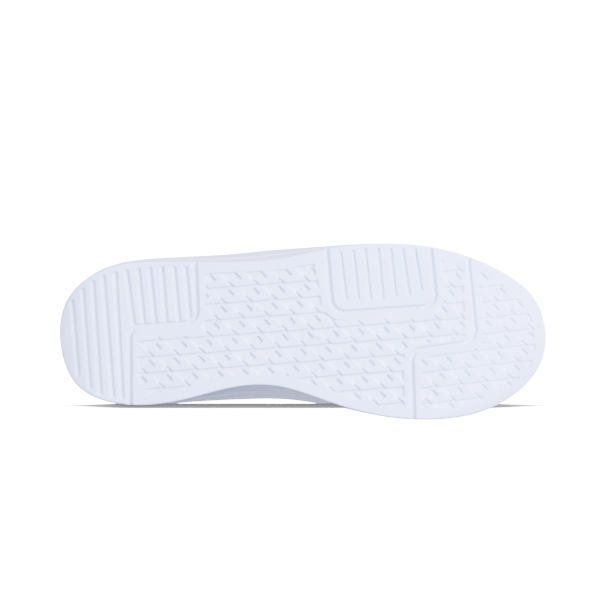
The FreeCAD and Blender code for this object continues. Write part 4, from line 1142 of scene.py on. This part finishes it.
tongue_pad = tongue()
place = np.empty(len(tongue_pad.data.vertices) * 3)
tongue_pad.data.vertices.foreach_get("co", place)
place = place.reshape(-1, 3) / MM
middle = tongue_rows(np.linspace(0, len(TONGUE) - 1, 400))
near = np.argmin(np.hypot(place[:, :1] - middle[:, 0], place[:, 2:] - middle[:, 1]), axis=1)
row_at, across = near / 399 * (len(TONGUE) - 1), np.abs(place[:, 1]) / middle[near, 2]
hem = np.maximum(ramp(0.62, 0.84, across), ramp(5.3, 5.75, row_at))
channel = np.exp(-((row_at - 4.35) / 0.08) ** 2)
inflate(tongue_pad, np.maximum(np.maximum(hem, channel), 1 - ramp(0.2, 1.2, row_at)), 1.0, 12.0)
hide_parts("tongue_cover", "tongue_foam", "tongue_lining")
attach(tongue_pad, "tongue")


# ---- eyelets and lace ----
def eyelets(side, node_name):
    """Pressed rings with a rounded flange and a barrel."""
    base = OVERLAY[1] + 0.03
    profile = [(2.0, base - 3.6), (2.0, base), (2.08, base + 0.4), (2.35, base + 0.66), (2.9, base + 0.72),
               (3.45, base + 0.55), (3.8, base + 0.25), (3.85, base), (3.4, base - 0.04), (2.5, base - 0.06),
               (2.5, base - 3.6)]
    sides = 40
    verts, faces, slots = [], [], []
    for row in range(len(EYELETS)):
        at, out, _ = EYELETS[row][side]
        x = unit(np.cross(out, [0.0, 1.0, 0.0]))
        y = np.cross(out, x)
        first = len(verts)
        for r, h in profile:
            for j in range(sides):
                w = 2 * math.pi * j / sides
                verts.append(at + out * h + x * (r * math.cos(w)) + y * (r * math.sin(w)))
        for i in range(len(profile)):
            for j in range(sides):
                k, m = (j + 1) % sides, (i + 1) % len(profile)
                here, ahead = first + i * sides, first + m * sides
                faces.append((here + j, here + k, ahead + k, ahead + j))
                slots.append(0)
        # a dark disc across each barrel: painted shade, standing in for the darkness inside the hole
        disc = len(verts)
        for j in range(sides):
            w = 2 * math.pi * j / sides
            verts.append(at + out * (base - 0.15) + x * (2.02 * math.cos(w)) + y * (2.02 * math.sin(w)))
        faces.append(tuple(range(disc, disc + sides)))
        slots.append(1)
    obj = mesh(f"eyelet_rings_{'medial' if side else 'lateral'}", verts, faces, [LACQUER, EYELET_HOLE_SHADE], slots=slots)
    return rear(obj, node_name)


eyelets(0, "eyelets_lateral")
eyelets(1, "eyelets_medial")

IN_HOLE, OUT_OF_HOLE, FLAT, INSIDE = (1.5, 1.05), (2.0, 0.95), (2.7, 0.75), (1.7, 0.75)
LACE_OVER, LACE_UNDER, LANE = OVERLAY[1] + 0.75 + 1.05, 5.2, 3.7
LACING = [(5, 1), (5, 0), (3, 0), (3, 1), (1, 1), (1, 0), (0, 0), (0, 1), (2, 1), (2, 0), (4, 0), (4, 1)]
FORWARD = np.array([1.0, 0.0, 0.0])


def tail_points(row, side):
    u = EYELETS[row][side][2]
    return [on_upper(u, k, -LACE_UNDER - deeper) for k, deeper in ((0.83, 0.3), (0.76, 0.8), (0.69, 1.3))]


def bar_end(row, side):
    at, out, u = EYELETS[row][side]
    over_edge = on_upper(u, EYELET_K + 0.012, LACE_OVER)
    return [
        (at - out * (LACE_UNDER - 0.9), FORWARD, IN_HOLE),
        (at - out * 2.0, FORWARD, IN_HOLE),
        (at + out * 1.4, FORWARD, IN_HOLE),
        (over_edge, FORWARD, OUT_OF_HOLE),
        (on_upper(u, 0.955, LACE_OVER + 0.1), FORWARD, FLAT),
        (on_upper(u, 1.0, LACE_OVER), FORWARD, FLAT),
    ]


def inner_run(start, end):
    (a, out_a, _), (b, out_b, _) = EYELETS[start[0]][start[1]], EYELETS[end[0]][end[1]]
    low, high = a - out_a * LACE_UNDER, b - out_b * LACE_UNDER
    way = high - low
    beside = unit(np.cross(way, out_a + out_b))
    beside = beside * (-1 if beside[2] < 0 else 1)
    lane = {(3, 1): -LANE, (0, 2): LANE, (5, 3): -LANE, (2, 4): LANE}.get((start[0], end[0]), 0.0)
    points = []
    for t in (0.09, 0.3, 0.5, 0.7, 0.91):
        aside = lane * min(1.0, 3.2 * t, 3.2 * (1 - t))
        points.append((low + way * t + beside * aside, beside, INSIDE))
    return points


def lace():
    """The whole lace along its CAD route: six bars over the tongue, runs inside and both ends tucked in."""
    route = [(p, FORWARD, INSIDE) for p in tail_points(*LACING[0])[::-1]]
    for number, (start, end) in enumerate(zip(LACING[0::2], LACING[1::2])):
        near, far = bar_end(*start), bar_end(*end)
        route += near
        skew = 0.5 * math.sin(number * 2.3 + 0.4)
        for t in (0.25, 0.5, 0.75):
            crown = np.array([skew * math.sin(math.pi * t), 0.0, 5 * t * (1 - t)])
            route.append((near[-1][0] * (1 - t) + far[-1][0] * t + crown, FORWARD, FLAT))
        route += far[::-1]
        after = LACING.index(end) + 1
        if after < len(LACING):
            route += inner_run(end, LACING[after])
    route += [(p, FORWARD, INSIDE) for p in tail_points(*LACING[-1])]
    table = np.array([[*p, *w, *size] for p, w, size in route])
    table = smooth_path(table, 6)
    points, wide, size = table[:, :3], table[:, 3:6], table[:, 6:]
    along = unit(np.gradient(points, axis=0))
    wide = unit(wide - along * (wide * along).sum(1, keepdims=True))
    thin = np.cross(along, wide)
    sides = 16
    w = 2 * np.pi * np.arange(sides) / sides
    # a flat oval: fuller than an ellipse at its edges
    cx = np.sign(np.cos(w)) * np.abs(np.cos(w)) ** 0.8
    cy = np.sign(np.sin(w)) * np.abs(np.sin(w)) ** 0.7
    broad = wide[:, None] * (size[:, :1] * cx)[..., None]
    deep = thin[:, None] * (size[:, 1:] * cy)[..., None]
    verts = points[:, None] + broad + deep
    run = run_along(points)
    uv = np.stack([np.repeat(run[:, None], sides, 1), 2.7 + 2.7 * np.repeat(cx[None], len(points), 0)], -1)
    faces = []
    for j in range(sides):
        here = np.arange(len(points) - 1) * sides
        k = (j + 1) % sides
        faces += np.stack([here + j, here + k, here + sides + k, here + sides + j], -1).tolist()
    end = (len(points) - 1) * sides
    faces += [tuple(range(sides))[::-1], tuple(range(end, end + sides))]
    return mesh("lace_ribbon", verts.reshape(-1, 3), faces, LACE, uv.reshape(-1, 2))


rear(lace(), "lace")

for name, where in (("shank", BOARD), ("toe_puff", BOARD), ("heel_counter", BOARD), ("aglets", FILM)):
    obj = bpy.data.objects[name]
    obj.data.materials.clear()
    obj.data.materials.append(where)

bpy.context.view_layer.update()
for obj in bends:
    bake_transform(obj)


# ---- stage ----
def lit_floor(name, z, size, colour):
    """A floor that shows from above only, so that the sole can be seen and lit from below."""
    data = bpy.data.meshes.new(name)
    corners = [(-size, -size, z), (size, -size, z), (size, size, z), (-size, size, z)]
    data.from_pydata(corners, [], [(0, 1, 2, 3)])
    obj = bpy.data.objects.new(name, data)
    bpy.context.scene.collection.objects.link(obj)
    m, tree, p = material(name, colour, rough=0.9, spec=0.1)
    side = tree.nodes.new("ShaderNodeNewGeometry")
    clear = tree.nodes.new("ShaderNodeBsdfTransparent")
    mix = tree.nodes.new("ShaderNodeMixShader")
    away = node(tree, "ShaderNodeVectorMath", operation="LENGTH")
    fade = node(tree, "ShaderNodeMapRange", interpolation_type="SMOOTHSTEP")
    fade.inputs["From Min"].default_value, fade.inputs["From Max"].default_value = 0.35, 1.9
    gone = node(tree, "ShaderNodeMath", operation="MAXIMUM")
    tree.links.new(coordinates(tree), away.inputs[0])
    tree.links.new(away.outputs["Value"], fade.inputs["Value"])
    tree.links.new(fade.outputs["Result"], gone.inputs[0])
    tree.links.new(side.outputs["Backfacing"], gone.inputs[1])
    tree.links.new(gone.outputs[0], mix.inputs[0])
    tree.links.new(p.outputs[0], mix.inputs[1])
    tree.links.new(clear.outputs[0], mix.inputs[2])
    tree.links.new(mix.outputs[0], tree.nodes["Material Output"].inputs["Surface"])
    data.materials.append(m)
    return obj


def light(name, place, target, power, size, colour=(1, 1, 1)):
    data = bpy.data.lights.new(name, "AREA")
    data.energy, data.size, data.color = power, size, colour
    obj = bpy.data.objects.new(name, data)
    obj.location = place
    obj.rotation_mode = "QUATERNION"
    obj.rotation_quaternion = (Vector(target) - Vector(place)).to_track_quat("-Z", "Y")
    bpy.context.scene.collection.objects.link(obj)
    return obj


floor = lit_floor("floor", 0.0, 3.0, (0.93, 0.93, 0.94))
floor.visible_shadow = False
stage_objects = [
    floor,
    light("key", (1.15, -0.8, -1.1), (0, 0, 0), 142, 0.3, (0.6, 0.66, 1.0)),
    light("front_fill", (-0.1, 0.1, -1.9), (0, 0, 0), 32, 1.6, (0.62, 0.68, 1.0)),
    light("top_key", (1.1, -1.0, 1.8), (0, 0, 0.03), 120, 0.45, (0.78, 0.82, 1.0)),
    light("top_fill", (-1.5, 0.7, 1.2), (0, 0, 0.03), 22, 1.2, (0.78, 0.82, 1.0)),
]


def contact_shadow():
    """The dark line beside a shoe that lies on its inner side; it shows from below only."""
    verts, faces, tones = [], [], []
    u = np.linspace(16.0, 33.0, 3000)
    edge = outline(u)
    for first, last in ((-151.0, 26.0), (100.0, 157.0)):
        xs = np.linspace(first, last, 140)
        sole = np.interp(xs, edge[::-1, 0], edge[::-1, 1], left=0, right=0)
        fade = ramp(-153, -108, xs) * (1 - ramp(108, 158, xs))
        far, near = 45.5 - 1.4 * fade, 45.5 + 1.7 * fade
        start = len(verts)
        for x, a, b, f, y in zip(xs, far, near, fade, sole):
            verts += [(x, min(max(a, y - 0.3), b), 0.6), (x, b, 0.6)]
            tones += [0.22 + 0.9 * (1 - f), 0.55 + 1.6 * (1 - f)]
        i = np.arange(len(xs) - 1) * 2 + start
        faces += np.stack([i, i + 1, i + 3, i + 2], -1).tolist()
    m = bpy.data.materials.new("contact_shadow")
    m.use_nodes = True
    tree = m.node_tree
    tree.nodes.remove(tree.nodes["Principled BSDF"])
    tone = node(tree, "ShaderNodeAttribute", attribute_name="tone")
    glow = node(tree, "ShaderNodeEmission", Color=(0.9, 0.91, 1.0, 1.0))
    clear = tree.nodes.new("ShaderNodeBsdfTransparent")
    side = tree.nodes.new("ShaderNodeNewGeometry")
    mix = tree.nodes.new("ShaderNodeMixShader")
    tree.links.new(tone.outputs["Fac"], glow.inputs["Strength"])
    tree.links.new(side.outputs["Backfacing"], mix.inputs[0])
    tree.links.new(glow.outputs[0], mix.inputs[1])
    tree.links.new(clear.outputs[0], mix.inputs[2])
    tree.links.new(mix.outputs[0], tree.nodes["Material Output"].inputs["Surface"])
    obj = mesh("contact_shadow", verts, faces, m)
    obj.data.attributes.new("tone", "FLOAT", "POINT").data.foreach_set("value", tones)
    for ray in ("shadow", "diffuse", "glossy", "transmission"):
        setattr(obj, f"visible_{ray}", False)
    return obj


contact_shadow()

world = bpy.data.worlds.new("studio")
world.use_nodes = True
sky, tree = world.node_tree.nodes["Background"], world.node_tree
sky.inputs[0].default_value = (0.74, 0.77, 1, 1)
sky.inputs[1].default_value = 0.45
backdrop = node(tree, "ShaderNodeBackground", Color=(1, 1, 1, 1), Strength=19.0)
seen, mix = tree.nodes.new("ShaderNodeLightPath"), tree.nodes.new("ShaderNodeMixShader")
tree.links.new(seen.outputs["Is Camera Ray"], mix.inputs[0])
tree.links.new(sky.outputs[0], mix.inputs[1])
tree.links.new(backdrop.outputs[0], mix.inputs[2])
tree.links.new(mix.outputs[0], tree.nodes["World Output"].inputs["Surface"])
bpy.context.scene.world = world

camera = bpy.data.objects.new("camera", bpy.data.cameras.new("camera"))
camera.data.sensor_width = 36.0
camera.data.lens = 138.5
camera.location = (-0.0043, -0.0219, -1.4)
camera.rotation_euler = (math.pi, 0, 0)
camera.data.clip_start, camera.data.clip_end = 0.05, 20
bpy.context.scene.collection.objects.link(camera)
bpy.context.scene.camera = camera
